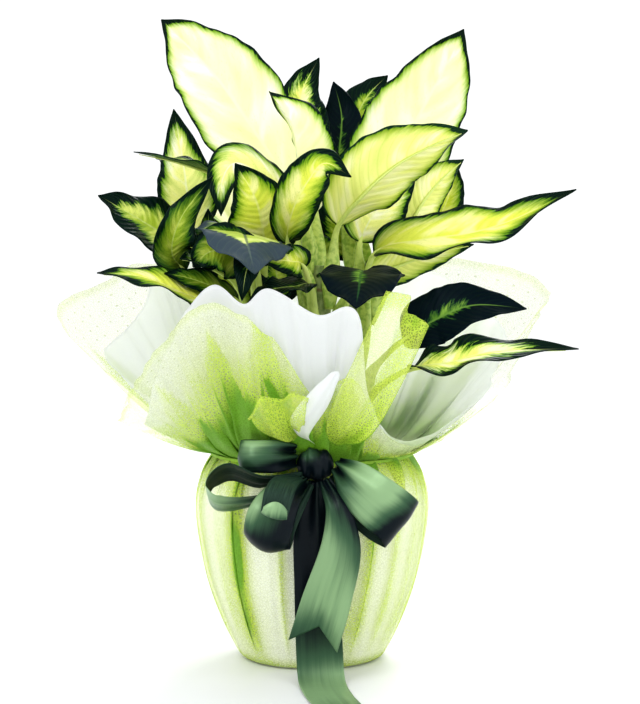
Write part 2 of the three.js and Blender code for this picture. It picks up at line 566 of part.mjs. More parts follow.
const NET_FOLDS = [
  { name: "net_fold", steps: 8, stations: [
    { at: [16, -97.2, 196.5], across: [0.9, 0, -0.4], width: 14 },
    { at: [32.5, -109.1, 214], across: [0.9, 0.1, -0.4], width: 34, proud: 3 },
    { at: [56, -115.4, 256], across: [0.92, 0.2, -0.3], width: 40, proud: 4 },
    { at: [82, -108, 316], across: [0.9, 0.2, -0.35], width: 44, proud: 2 },
  ] },
  { name: "net_ruffle", steps: 8, stations: [
    { at: [-10, -96.9, 197.5], across: [1, 0, 0.2], width: 14 },
    { at: [-22, -124, 214], across: [1, 0, 0.2], width: 40, proud: 5 },
    { at: [-30, -138, 240], across: [1, 0, 0.1], width: 52, proud: 6 },
  ] },
];

function makeStrips() {
  const knot = new THREE.SphereGeometry(1, KNOT.sides, KNOT.bands).scale(...KNOT.half).translate(...KNOT.at);
  addPiece("ribbon_knot", knot, satinGreen);
  for (const piece of RIBBON_PIECES) {
    const solid = stripSolid(piece.stations, piece.steps, RIBBON, piece.notch);
    addPiece(`ribbon_${piece.name}`, solid, satinGreen);
  }
  for (const fold of NET_FOLDS) addPiece(fold.name, stripSolid(fold.stations, fold.steps, SHEET), netLime);
}

makePot();
makeSoilAndCanes();
for (const leaf of LEAVES) makeLeaf({ ...COMMON, ...leaf });
makeWrapping();
makeTie();
makeStrips();

export default root;
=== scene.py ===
"""Looks of the gift-wrapped potted dieffenbachia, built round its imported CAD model.

Leaves, wrapping and ribbon are finer pieces that keep the form of the solids they replace. Six young
leaves, the inner loop of the bow and a curl of the paper are small pieces that the CAD leaves out. The
pot, its soil, the canes and the cord at the neck are the CAD solids with materials of their own.
Lengths in the tables are millimetres, as in the CAD, and MM turns them into metres.
"""

import math

import bmesh
import bpy
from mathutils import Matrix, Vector, noise


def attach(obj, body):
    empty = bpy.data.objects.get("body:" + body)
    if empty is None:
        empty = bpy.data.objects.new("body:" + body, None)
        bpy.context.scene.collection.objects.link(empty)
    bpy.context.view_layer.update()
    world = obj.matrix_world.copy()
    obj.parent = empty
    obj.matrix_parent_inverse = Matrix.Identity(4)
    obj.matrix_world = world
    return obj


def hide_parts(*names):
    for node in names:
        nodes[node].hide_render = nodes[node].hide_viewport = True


MM = 0.001

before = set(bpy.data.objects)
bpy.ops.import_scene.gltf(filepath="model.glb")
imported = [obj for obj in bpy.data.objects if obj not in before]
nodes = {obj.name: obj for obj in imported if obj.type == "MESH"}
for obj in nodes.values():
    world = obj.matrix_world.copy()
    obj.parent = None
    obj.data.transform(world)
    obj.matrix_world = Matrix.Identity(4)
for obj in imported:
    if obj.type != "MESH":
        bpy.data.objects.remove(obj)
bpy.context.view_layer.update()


# ---- camera, lamps and floor ------------------------------------------------------------------
CAMERA_AT = (6.8, -1800, 400)
CAMERA_DOWN = 4.39  # degrees below the horizon
CAMERA_LENS = 108.3
CAMERA_SENSOR = 36
CAMERA_NEAREST = 0.05  # metres
FLOOR_RADIUS = 9000
ROOM_COLOR = (0.98, 0.99, 1.0, 1)
ROOM_STRENGTH = 0.93
LAYERS_SEEN_THROUGH = 32  # the netting lies over itself many times

# lamps: place and size in metres, power in watts
LAMPS = {
    "key": ((-0.9, -1.5, 1.6), 0.7, 10),
    "fill": ((1.5, -1.4, 1.3), 1.6, 7),
    "back": ((0.6, 1.5, 1.6), 1.2, 22),
}
LAMPS_AIM_AT = (0, 0, 0.3)


def make_camera():
    lens = bpy.data.cameras.new("camera")
    lens.lens = CAMERA_LENS
    lens.sensor_width = CAMERA_SENSOR
    lens.clip_start = CAMERA_NEAREST
    camera = bpy.data.objects.new("camera", lens)
    camera.location = Vector(CAMERA_AT) * MM
    camera.rotation_euler = (math.radians(90 - CAMERA_DOWN), 0, 0)
    bpy.context.scene.collection.objects.link(camera)
    bpy.context.scene.camera = camera


def make_lamp(name, at, size, power):
    data = bpy.data.lights.new(name, "AREA")
    data.size = size
    data.energy = power
    lamp = bpy.data.objects.new(name, data)
    lamp.location = at
    lamp.rotation_euler = (Vector(LAMPS_AIM_AT) - Vector(at)).to_track_quat("-Z", "Y").to_euler()
    bpy.context.scene.collection.objects.link(lamp)


def make_studio():
    scene = bpy.context.scene
    scene.view_settings.view_transform = "Standard"
    scene.view_settings.look = "Medium High Contrast"
    scene.cycles.transparent_max_bounces = LAYERS_SEEN_THROUGH
    room = bpy.data.worlds.new("studio")
    room.use_nodes = True
    background = room.node_tree.nodes["Background"]
    background.inputs["Color"].default_value = ROOM_COLOR
    background.inputs["Strength"].default_value = ROOM_STRENGTH
    scene.world = room
    for name, lamp in LAMPS.items():
        make_lamp(name, *lamp)


# ---- small tools ------------------------------------------------------------------------------
TANGENT_STEP = 0.0005
WELD = 1e-6  # metres between points that are made one


def catmull(points, u, closed=False):
    """The point at share u of a uniform Catmull-Rom curve, ends carried on straight as in the CAD."""
    count = len(points)
    spans = count if closed else count - 1
    place = u * spans
    k = math.floor(place)
    if not closed:
        k = min(max(k, 0), spans - 1)
    w = place - k
    if closed:
        before, start, end, after = (points[(k + i) % count] for i in (-1, 0, 1, 2))
    else:
        start, end = points[k], points[k + 1]
        before = points[k - 1] if k > 0 else start * 2 - end
        after = points[k + 2] if k + 2 < count else end * 2 - start
    leaving = (end - before) * 0.5
    arriving = (after - start) * 0.5
    return (
        start
        + leaving * w
        + (end * 3 - start * 3 - leaving * 2 - arriving) * w * w
        + (start * 2 - end * 2 + leaving + arriving) * w * w * w
    )


def catmull_number(values, u):
    return catmull([Vector((v, 0, 0)) for v in values], u).x


def tangent(points, u):
    ahead = catmull(points, min(u + TANGENT_STEP, 1))
    return (ahead - catmull(points, max(u - TANGENT_STEP, 0))).normalized()


def lerp(a, b, share):
    return a + (b - a) * share


def smooth(low, high, value):
    share = min(max((value - low) / (high - low), 0), 1)
    return share * share * (3 - 2 * share)


def bell(x):
    return math.exp(-x * x / 2)


def hump(x, size, middle, reach):
    """size at the middle, fading to nothing on both sides of it."""
    return size * bell((x - middle) / reach)


def add_sheet(bm, columns, rows, place):
    """A sheet of columns by rows quads. place(a, b) is the point at shares a across and b along."""
    made = bmesh.ops.create_grid(bm, x_segments=columns, y_segments=rows, size=0.5)["verts"]
    uv = bm.loops.layers.uv.new("UVMap")
    share = {v: (v.co.x + 0.5, v.co.y + 0.5) for v in made}
    for vert, (a, b) in share.items():
        vert.co = place(a, b)
    for face in bm.faces:
        face.smooth = True
        for loop in face.loops:
            loop[uv].uv = share[loop.vert]


def sheet_points(bm):
    """Each point of a sheet with its shares across and along, read back from the UV map."""
    uv = bm.loops.layers.uv["UVMap"]
    for vert in bm.verts:
        yield vert, *vert.link_loops[0][uv].uv


def close_tube(bm):
    """Welds the seam of a rolled-up sheet, closes its ends and turns its faces outwards."""
    bmesh.ops.remove_doubles(bm, verts=bm.verts, dist=WELD)
    bmesh.ops.holes_fill(bm, edges=[edge for edge in bm.edges if edge.is_boundary])
    bmesh.ops.recalc_face_normals(bm, faces=bm.faces)


def thicken(piece, thickness, underside=False):
    """Gives a sheet its thickness, on the side away from its normals."""
    wall = piece.modifiers.new("thickness", "SOLIDIFY")
    wall.thickness = thickness * MM
    wall.offset = -1
    wall.material_offset = 1 if underside else 0


def add_object(name, bm, materials):
    mesh = bpy.data.meshes.new(name)
    bm.to_mesh(mesh)
    bm.free()
    made = bpy.data.objects.new(name, mesh)
    for material in materials:
        mesh.materials.append(material)
    bpy.context.scene.collection.objects.link(made)
    return made


def add_piece(name, bm, materials, slot, *replaced):
    piece = add_object(name, bm, materials)
    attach(piece, "root")
    if replaced:
        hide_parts(*replaced)
    return piece


# ---- node helpers -----------------------------------------------------------------------------
# A value is a number, a colour of three parts, or the output of another node.
FLOAT = "NodeSocketFloat"
COLOR = "NodeSocketColor"


def opaque(value):
    """A colour with its alpha; a number stays as it is."""
    return (*value, 1) if isinstance(value, tuple) else value


def give(tree, socket, value):
    if isinstance(value, bpy.types.NodeSocket):
        tree.links.new(value, socket)
    else:
        socket.default_value = opaque(value)


def put(tree, kind, inputs=None, **settings):
    """A new node with its settings and the values of its inputs."""
    node = tree.nodes.new(kind)
    for key, value in settings.items():
        setattr(node, key, value)
    for key, value in (inputs or {}).items():
        give(tree, node.inputs[key], value)
    return node


def feed(tree, node, **values):
    """Gives values to a node's inputs, named with underscores for spaces."""
    for key, value in values.items():
        give(tree, node.inputs[key.replace("_", " ")], value)


def calc(tree, operation, *values):
    return put(tree, "ShaderNodeMath", dict(enumerate(values)), operation=operation).outputs[0]


def plus(tree, first, second):
    return calc(tree, "ADD", first, second)


def minus(tree, first, second):
    return calc(tree, "SUBTRACT", first, second)


def times(tree, first, second):
    return calc(tree, "MULTIPLY", first, second)


def ramp(tree, value, low, high, to_low=0.0, to_high=1.0):
    """value mapped smoothly from low..high to to_low..to_high."""
    inputs = {"Value": value, "From Min": low, "From Max": high, "To Min": to_low, "To Max": to_high}
    return put(tree, "ShaderNodeMapRange", inputs, interpolation_type="SMOOTHSTEP").outputs["Result"]


def blend(tree, share, first, second):
    """The first colour where share is 0, the second where it is 1."""
    inputs = {0: share, 6: first, 7: second}  # the factor and the two colours of a Mix node
    return put(tree, "ShaderNodeMix", inputs, data_type="RGBA").outputs[2]


def object_place(tree):
    return put(tree, "ShaderNodeTexCoord").outputs["Object"]


def split(tree, vector):
    return put(tree, "ShaderNodeSeparateXYZ", {"Vector": vector}).outputs


def uv_parts(tree):
    return split(tree, put(tree, "ShaderNodeUVMap", uv_map="UVMap").outputs[0])


def carried(tree, name):
    """A value that the points of the mesh carry."""
    return put(tree, "ShaderNodeAttribute", attribute_name=name).outputs["Fac"]


def join(tree, x, y, z=0.0):
    return put(tree, "ShaderNodeCombineXYZ", {"X": x, "Y": y, "Z": z}).outputs[0]


def stretched(tree, parts, scales, z=0.0):
    """A place to read a pattern at, its first two parts scaled."""
    return join(tree, times(tree, parts[0], scales[0]), times(tree, parts[1], scales[1]), z)


def cloud(tree, place, scale, detail=2.0, roughness=0.5):
    inputs = {"Vector": place, "Scale": scale, "Detail": detail, "Roughness": roughness}
    return put(tree, "ShaderNodeTexNoise", inputs).outputs["Fac"]


def bump(tree, height, distance, strength=1.0):
    inputs = {"Height": height, "Distance": distance * MM, "Strength": strength}
    return put(tree, "ShaderNodeBump", inputs).outputs["Normal"]


def new_material(name):
    material = bpy.data.materials.new(name)
    material.use_nodes = True
    tree = material.node_tree
    return material, tree, tree.nodes["Principled BSDF"]


def new_group(name, inputs, outputs):
    """A node group with named sockets: {name: value} in and {name: type} out."""
    tree = bpy.data.node_groups.new(name, "ShaderNodeTree")
    for key, value in inputs.items():
        kind = COLOR if isinstance(value, tuple) else FLOAT
        socket = tree.interface.new_socket(key, in_out="INPUT", socket_type=kind)
        socket.default_value = opaque(value)
    for key, kind in outputs.items():
        tree.interface.new_socket(key, in_out="OUTPUT", socket_type=kind)
    start = tree.nodes.new("NodeGroupInput")
    end = tree.nodes.new("NodeGroupOutput")
    return tree, start.outputs, end.inputs


def use_group(tree, group, **values):
    node = put(tree, "ShaderNodeGroup", node_tree=group)
    feed(tree, node, **values)
    return node.outputs


# ---- leaf materials ---------------------------------------------------------------------------
SIDE_VEINS = 15.0  # on each half of a blade
VEIN_SWEEP = 0.24  # how far a side vein runs towards the tip on its way to the margin
VEIN_BEND = 1.3  # above 1: the veins leave the midrib squarely and turn towards the tip
HALVES_APART = 3.7  # keeps the pattern of one half from mirroring the other's
MARGIN_GREEN = (0.0008, 0.011, 0.007)


def make_leaf_pattern():
    """Colour, relief and margin mask of a blade, from its UV and its distance from the margin in mm."""
    tree, given, out = new_group(
        "variegation",
        {
            "Margin": 3.0,
            "Feather": 3.0,
            "Band": 8.0,
            "Speckle": 0.5,
            "Veins": 0.1,
            "Foot": 0.0,
            "Spread": 0.0,
            "Light": (0.96, 0.96, 0.80),
            "Pale": (0.93, 0.95, 0.7),
            "Middle": (0.6, 0.72, 0.1),
            "Deep": (0.02, 0.11, 0.004),
            "Dark": (0.01, 0.05, 0.02),
            "Rib": (0.8, 0.85, 0.5),
        },
        {"Color": COLOR, "Height": FLOAT, "Margin": FLOAT},
    )
    parts = uv_parts(tree)
    seed = carried(tree, "leaf_seed")
    inset = carried(tree, "from_margin")
    side = minus(tree, times(tree, parts[0], 2.0), 1.0)
    across = calc(tree, "ABSOLUTE", side)
    half = calc(tree, "SIGN", side)
    sweep = times(tree, calc(tree, "POWER", across, VEIN_BEND), VEIN_SWEEP)
    vein = minus(tree, parts[1], sweep)
    shifted = plus(tree, seed, times(tree, half, HALVES_APART))

    # streaks of colour follow the side veins, and broader drifts make some parts greener
    along_veins = stretched(tree, (vein, across), (46.0, 3.4), shifted)
    streak = minus(tree, cloud(tree, along_veins, 1.0, 4.0, 0.68), 0.5)
    broad = join(tree, times(tree, vein, 7.0), across, shifted)
    drift = minus(tree, cloud(tree, broad, 1.0, 2.0), 0.5)
    wander = plus(tree, times(tree, streak, 2.4), times(tree, drift, 2.6))
    wander = times(tree, wander, given["Feather"])
    edge = minus(tree, minus(tree, inset, wander), given["Margin"])
    spread = times(tree, ramp(tree, parts[1], 0.37, 0.67, 1.0, 0.0), given["Spread"])
    edge = plus(tree, edge, spread)
    margin = ramp(tree, edge, -0.5, 0.5, 1.0, 0.0)
    inputs = {"Value": edge, "From Min": given["Band"], "From Max": 0.0, "To Min": 0.0, "To Max": 1.0}
    deep = put(tree, "ShaderNodeMapRange", inputs).outputs["Result"]
    band = calc(tree, "POWER", deep, 1.5)
    beside_margin = times(tree, calc(tree, "POWER", deep, 4.0), 0.9)

    # small green flecks, thickest beside the margin
    fleck_at = stretched(tree, (vein, across), (120.0, 22.0), shifted)
    fleck = plus(tree, cloud(tree, fleck_at, 1.0, 2.0, 0.6), times(tree, deep, 0.12))
    fleck = times(tree, ramp(tree, fleck, 0.58, 0.72), given["Speckle"])

    # side veins and midrib
    wave = calc(tree, "PINGPONG", times(tree, vein, SIDE_VEINS), 0.5)
    line = ramp(tree, wave, 0.0, 0.16, 1.0, 0.0)
    rib = ramp(tree, across, 0.015, 0.05, 1.0, 0.0)
    rib = times(tree, rib, ramp(tree, parts[1], 0.75, 0.98, 0.8, 0.0))

    greener = ramp(tree, drift, 0.02, 0.22)
    paler = ramp(tree, drift, -0.16, 0.03, 0.9, 0.0)
    lighter = times(tree, times(tree, line, margin), 0.06)
    # painted shade: the blade darkens towards its foot, where the leaves around it shade it
    foot = ramp(tree, parts[1], 0.0, 0.5, 1.0, 0.0)
    color = blend(tree, paler, given["Pale"], given["Light"])
    for share, name in (
        (times(tree, greener, 0.22), "Middle"),
        (band, "Middle"),
        (beside_margin, "Deep"),
        (fleck, "Middle"),
        (times(tree, line, given["Veins"]), "Middle"),
        (margin, "Dark"),
        (lighter, "Middle"),
        (rib, "Rib"),
        (times(tree, foot, given["Foot"]), "Dark"),
    ):
        color = blend(tree, share, color, given[name])
    tree.links.new(color, out["Color"])

    pillow = ramp(tree, wave, 0.0, 0.5)
    grain = cloud(tree, stretched(tree, (vein, side), (160.0, 60.0)), 1.0)
    soft = times(tree, cloud(tree, broad, 2.5, 1.0), 1.6)
    height = plus(tree, plus(tree, pillow, soft), times(tree, grain, 0.12))
    tree.links.new(height, out["Height"])
    tree.links.new(margin, out["Margin"])
    return tree


def leaf_material(name, pattern, relief=0.3, roughness=(0.38, 0.3), gloss=0.1, **values):
    """A finish of the blades; roughness is that inside and that of the margin."""
    material, tree, shader = new_material(name)
    made = use_group(tree, pattern, **values)
    feed(
        tree, shader,
        Base_Color=made["Color"],
        Roughness=ramp(tree, made["Margin"], 0.0, 1.0, *roughness),
        Normal=bump(tree, made["Height"], relief),
        Specular_IOR_Level=gloss,
        Specular_Tint=(0.75, 0.92, 1.0),
    )
    return material


def make_leaf_materials():
    pattern = make_leaf_pattern()
    shaded = dict(
        relief=0.12, roughness=(0.44, 0.42), gloss=0.08, Feather=9.0, Speckle=0.3, Veins=0.05,
        Pale=(0.13, 0.28, 0.03), Middle=(0.02, 0.09, 0.018), Deep=(0.002, 0.022, 0.014),
        Dark=(0.0006, 0.006, 0.011),
    )
    return {
        "cream": leaf_material(
            "leaf_cream", pattern, relief=0.2,
            Margin=1.7, Feather=2.4, Band=9.0, Speckle=0.18, Veins=0.03,
            Light=(0.96, 0.96, 0.78), Pale=(0.93, 0.94, 0.54), Middle=(0.36, 0.56, 0.012),
            Deep=(0.05, 0.20, 0.005), Dark=MARGIN_GREEN, Rib=(0.93, 0.95, 0.60),
        ),
        "white": leaf_material(
            "leaf_white_green", pattern,
            Margin=3.2, Feather=4.0, Band=10.0, Speckle=0.35, Veins=0.05, Foot=0.2,
            Light=(0.97, 0.95, 0.74), Pale=(0.90, 0.91, 0.32), Middle=(0.22, 0.44, 0.006),
            Dark=MARGIN_GREEN, Rib=(0.90, 0.93, 0.55),
        ),
        "yellow": leaf_material(
            "leaf_yellow_green", pattern,
            Margin=3.6, Feather=4.4, Band=12.0, Speckle=0.35, Veins=0.1, Foot=0.3,
            Light=(0.94, 0.92, 0.40), Pale=(0.76, 0.81, 0.11), Middle=(0.20, 0.40, 0.006),
            Dark=MARGIN_GREEN, Rib=(0.84, 0.88, 0.30),
        ),
        # painted shade: a darker olive copy of the yellow-green look, for leaves deep inside the plant
        # where shade falls
        "olive": leaf_material(
            "leaf_olive", pattern,
            Margin=2.6, Feather=5.0, Band=14.0, Speckle=0.5, Veins=0.2, Foot=0.6,
            Light=(0.55, 0.62, 0.12), Pale=(0.33, 0.44, 0.035), Middle=(0.06, 0.16, 0.006),
            Deep=(0.01, 0.06, 0.004), Dark=MARGIN_GREEN, Rib=(0.45, 0.56, 0.14),
        ),
        "deep": leaf_material(
            "leaf_deep_green", pattern,
            Margin=12.0, Feather=8.5, Band=9.0, Speckle=0.4, Veins=0.1, Foot=0.2,
            Light=(0.76, 0.82, 0.22), Pale=(0.42, 0.55, 0.05), Middle=(0.06, 0.20, 0.008),
            Deep=(0.01, 0.07, 0.006), Dark=MARGIN_GREEN, Rib=(0.55, 0.66, 0.2),
        ),
        "feathered": leaf_material(
            "leaf_feathered", pattern,
            Margin=8.0, Feather=9.0, Band=9.0, Speckle=0.4, Veins=0.08,
            Light=(0.96, 0.96, 0.62), Pale=(0.86, 0.90, 0.22), Middle=(0.16, 0.38, 0.008),
            Dark=MARGIN_GREEN, Rib=(0.85, 0.90, 0.35),
        ),
        "dark": leaf_material(
            "leaf_dark", pattern,
            Margin=20.0, Band=9.0, Light=(0.32, 0.50, 0.08), Rib=(0.16, 0.30, 0.06), **shaded,
        ),
        "night": leaf_material(
            "leaf_night", pattern,
            Margin=29.0, Band=7.0, Light=(0.30, 0.50, 0.08), Rib=(0.03, 0.10, 0.03), **shaded,
        ),
        # painted reflection: the dark parts of this leaf are painted grey-blue, as the sheen of the bright
        # room on them; its pale streaks are its own colour
        "blue_sheen": leaf_material(
            "leaf_slate", pattern, relief=0.16, roughness=(0.42, 0.38),
            Margin=30.0, Feather=8.0, Band=6.0, Speckle=0.3, Veins=0.1, Spread=27.0,
            Light=(0.80, 0.86, 0.34), Pale=(0.52, 0.64, 0.12), Middle=(0.16, 0.26, 0.10),
            Deep=(0.075, 0.115, 0.11), Dark=(0.048, 0.070, 0.088), Rib=(0.10, 0.14, 0.12),
        ),
        "underside": leaf_material(
            "leaf_underside", pattern, relief=0.4, roughness=(0.45, 0.4),
            Margin=1.9, Feather=2.4, Band=10.0, Speckle=0.2, Veins=0.22,
            Light=(0.93, 0.93, 0.50), Pale=(0.84, 0.87, 0.27), Middle=(0.42, 0.57, 0.04),
            Deep=(0.10, 0.24, 0.01), Dark=(0.004, 0.030, 0.012), Rib=(0.66, 0.75, 0.16),
        ),
        "dull": leaf_material(
            "leaf_dull_underside", pattern, roughness=(0.5, 0.45),
            Margin=1.0, Feather=2.4, Band=12.0, Speckle=0.3, Veins=0.15,
            Light=(0.22, 0.32, 0.08), Pale=(0.10, 0.18, 0.05), Middle=(0.04, 0.10, 0.03),
            Dark=(0.01, 0.03, 0.015), Rib=(0.18, 0.28, 0.08),
        ),
    }


def make_stalk_material():
    material, tree, shader = new_material("leaf_stalk")
    parts = uv_parts(tree)
    fibre = cloud(tree, stretched(tree, parts, (30.0, 4.0)), 1.0)
    mottle = ramp(tree, cloud(tree, object_place(tree), 260.0, 3.0), 0.42, 0.66)
    foot = ramp(tree, parts[1], 0.15, 0.4, 1.0, 0.0)
    pale = blend(tree, ramp(tree, parts[1], 0.0, 0.5), (0.52, 0.64, 0.16), (0.66, 0.76, 0.22))
    green = blend(tree, times(tree, mottle, foot), pale, (0.30, 0.46, 0.08))
    feed(tree, shader, Base_Color=green, Roughness=0.4, Normal=bump(tree, fibre, 0.25))
    return material


# ---- leaves -----------------------------------------------------------------------------------
CANES = {
    "left": ((-34, 4), (-47, 2)),
    "centre": ((6, -22), (8, -16)),
    "right": ((30, 22), (42, 26)),
}
CANE_BOTTOM = 94.5
CANE_TOP = 336
CANE_SIDE = 8.55  # from a cane's axis to the stalks that stand against it
STALK_RADIUS = 2.7
STALK_END = 0.97  # share of the middle line at which the midrib has run out
STALK_ROWS = 40
STALK_SIDES = 12
MIDRIB_DROP = 1.1  # the midrib lies this and three quarters of its radius under the blade
# on the stalk: how much, how far up it and over what share of it
SHEATH = (0.55, 0.3, 0.22)
WING = (0.9, 0.4, 0.25)
WING_BLADE = 60  # width of a blade whose stalk has wings of that size
WING_MOST = 1.2
GROOVE = (0.35, math.pi / 2, 0.5)  # depth, angle round the stalk and half width
SHOULDER = 0.55
TAPER = 1.0
BEND_REACH = 0.32
BEND_RISE = 0.52
BLADE = 0.8
BLADE_COLUMNS = 28
THINNEST = 0.25  # half width of a blade and of its midrib at the tip
MARGIN_WAVES = 2.5
WAVE_HEIGHT = 1.3
RIPPLE_HEIGHT = 3.6
MIDRIB_DIP = 0.7
WAVE_FADE = 12  # half width of a blade below which its margin lies quieter
TIP_INSET = 4  # brings the dark margin in at the tip
SEED_STEP = 1.37
VIEWER = (0, -1, 0.35)

# name: cane, foot height, width, face, fold, curl, wave, look, midrib
LEAVES = {
    "top_left": ("centre", 322, 87, (0.1, -1, 0.35), 5, 8, 2, "cream",
                 [(-13, 2, 394), (-46, 28, 445), (-79, 42, 492), (-108, 48, 524), (-130, 42, 546)]),
    "top_half": ("centre", 330, 68, (-0.71, -0.7, 0.1), -45, 0, 1, "cream",
                 [(-6, -22, 387), (-12, -27, 425), (-18, -24, 456), (-36, -12, 482)]),
    "top_middle": ("centre", 314, 50, VIEWER, 18, 0, 2, "feathered",
                   [(0, 45, 399), (-9, 66, 452), (-10, 76, 483), (6, 84, 516)]),
    "top_dark": ("right", 316, 46, VIEWER, 12, 0, 2, "dark",
                 [(21, 62, 399), (24, 84, 435), (26, 100, 466), (19, 104, 496)]),
    "top_back": ("right", 284, 45, VIEWER, 10, 0, 2, "deep",
                 [(27, 84, 413), (36, 112, 455), (49, 124, 483), (68, 132, 503)]),
    "top_right": ("right", 326, 88, (-0.1, -1, 0.35), 5, 8, 2, "cream",
                  [(43, 34, 372), (66, 50, 415), (92, 60, 462), (116, 64, 506), (132, 58, 539)]),
    "right_front": ("centre", 300, 70, (-0.2, 0.9, 0.4), 22, 0, 2, "yellow",
                    [(22, -34, 370), (41, -54, 395), (66, -66, 418), (96, -72, 435), (127, -70, 448)]),
    "right_inner": ("right", 306, 52, VIEWER, 10, 0, 1, "white",
                    [(41, 4, 355), (53, 10, 380), (70, 16, 403), (94, 18, 429)]),
    "right_back": ("right", 292, 46, (-0.2, 0.9, 0.4), 10, 0, 1, "yellow",
                   [(77, 18, 358), (93, 22, 387), (110, 30, 408), (131, 38, 426)]),
    "right_outer": ("right", 284, 32, VIEWER, 10, 0, 1, "yellow",
                    [(98, 40, 354), (113, 52, 380), (122, 60, 401), (127, 64, 421)]),
    "right_long": ("right", 240, 60, (-0.1, -0.6, 0.8), 12, 0, 3, "yellow",
                   [(52, -18, 346), (90, -32, 358), (131, -42, 364), (168, -48, 376), (218, -50, 400)]),
    "right_low": ("right", 272, 40, (0, 0.9, 0.4), 8, 0, 1, "yellow",
                  [(48, 4, 325), (75, 12, 336), (106, 18, 346), (139, 20, 353)]),
    "front_dark": ("centre", 268, 70, (0, -0.5, 0.85), 6, -10, 2, "night",
                   [(42, -42, 331), (40, -72, 331), (38, -104, 321), (35, -124, 306)]),
    "right_dark": ("right", 216, 54, (0, -0.75, 0.65), 8, 0, 1, "dark",
                   [(75, -48, 275), (103, -52, 293), (134, -56, 305), (177, -58, 302)]),
    "right_lowest": ("right", 204, 48, (0, -0.45, 0.9), 12, 0, 3, "feathered",
                     [(82, -80, 255), (112, -94, 261), (148, -98, 270), (215, -100, 272)]),
    "left_dark": ("left", 296, 60, (0, -0.65, 0.75), 10, 0, 2, "deep",
                  [(-98, -15, 349), (-126, -22, 364), (-152, -28, 380), (-178, -32, 395)]),
    "left_upright": ("left", 306, 52, VIEWER, 8, 0, 2, "white",
                     [(-98, 12, 361), (-106, 20, 391), (-111, 26, 425), (-119, 32, 469)]),
    "left_sliver": ("left", 324, 34, (0, -0.1, 1), 10, 0, 1, "olive",
                    [(-57, -6, 401), (-85, -18, 415), (-117, -28, 425), (-148, -34, 431)]),
    "left_arch": ("centre", 284, 45, (0, -0.7, 0.7), 8, -8, 1, "white",
                  [(-20, -24, 379), (-36, -36, 406), (-61, -50, 422), (-73, -62, 408), (-74, -68, 378)]),
    "left_front": ("left", 291, 60, VIEWER, 8, 0, 2, "yellow",
                   [(-39, -36, 344), (-41, -52, 371), (-47, -66, 395), (-62, -78, 421)]),
    "centre_twist": ("centre", 302, 40, VIEWER, 10, 0, 1, "yellow",
                     [(-20, -51, 356), (-15, -79, 384), (-2, -94, 408), (11, -98, 421), (32, -96, 410)]),
    # this leaf's grey-blue is a painted reflection, from its look
    "front_blue": ("left", 257, 80, (0.24, -0.4, 0.88), 4, -20, 3, "blue_sheen",
                   [(-54, -58, 359), (-54, -92, 364), (-50, -122, 355), (-44, -146, 334)]),
    "left_curl": ("left", 234, 34, (0.3, -0.9, 0.3), 14, 0, 5, "olive",
                  [(-103, -73, 333), (-113, -86, 351), (-104, -92, 379), (-80, -88, 410)]),
    "left_low": ("left", 204, 42, (0, -0.4, 0.9), 8, 0, 2, "yellow",
                 [(-70, -92, 303), (-101, -106, 317), (-134, -117, 331), (-170, -122, 334)]),
    "left_under": ("left", 271, 38, (0, -0.6, 0.8), 8, 0, 2, "olive",
                   [(-67, -46, 327), (-81, -79, 338), (-91, -96, 343), (-105, -108, 345)]),
    "left_pale": ("left", 222, 26, (0, -0.8, 0.6), 8, 0, 1, "olive",
                  [(-60, -66, 308), (-76, -88, 320), (-98, -99, 329), (-118, -103, 333)]),
    "front_tip": ("centre", 232, 26, (0, -0.5, 0.85), 8, 0, 1, "deep",
                  [(0, -64, 320), (-14, -88, 322), (-33, -108, 320), (-51, -120, 310)]),
    "centre_low": ("centre", 256, 30, VIEWER, 8, 0, 1, "yellow",
                   [(-6, -66, 336), (-18, -80, 342), (-43, -94, 344)]),
    "left_bud": ("left", 286, 22, VIEWER, 20, 0, 0, "olive",
                 [(-78, -26, 346), (-85, -36, 362), (-86, -40, 384)]),
    "back_left": ("left", 314, 64, (0.3, -0.4, 0.85), 10, 0, 2, "cream",
                  [(-62, 48, 360), (-90, 80, 396), (-116, 106, 420), (-142, 126, 428)]),
    "back_middle": ("centre", 294, 62, (0, -0.5, 0.85), 10, 0, 2, "cream",
                    [(-2, 66, 362), (-12, 102, 390), (-22, 136, 408), (-30, 166, 410)]),
    "back_right": ("right", 268, 64, (-0.3, -0.4, 0.85), 10, 0, 2, "cream",
                   [(68, 78, 352), (94, 108, 386), (116, 136, 404), (138, 158, 402)]),
    "back_low_left": ("left", 232, 54, (0, -0.3, 1), 8, 0, 3, "white",
                      [(-50, 92, 352), (-58, 124, 364), (-66, 154, 362), (-74, 180, 350)]),
    "back_low_right": ("right", 228, 54, (0, -0.3, 1), 8, 0, 3, "white",
                       [(34, 98, 356), (42, 130, 366), (52, 160, 362), (60, 186, 346)]),
}
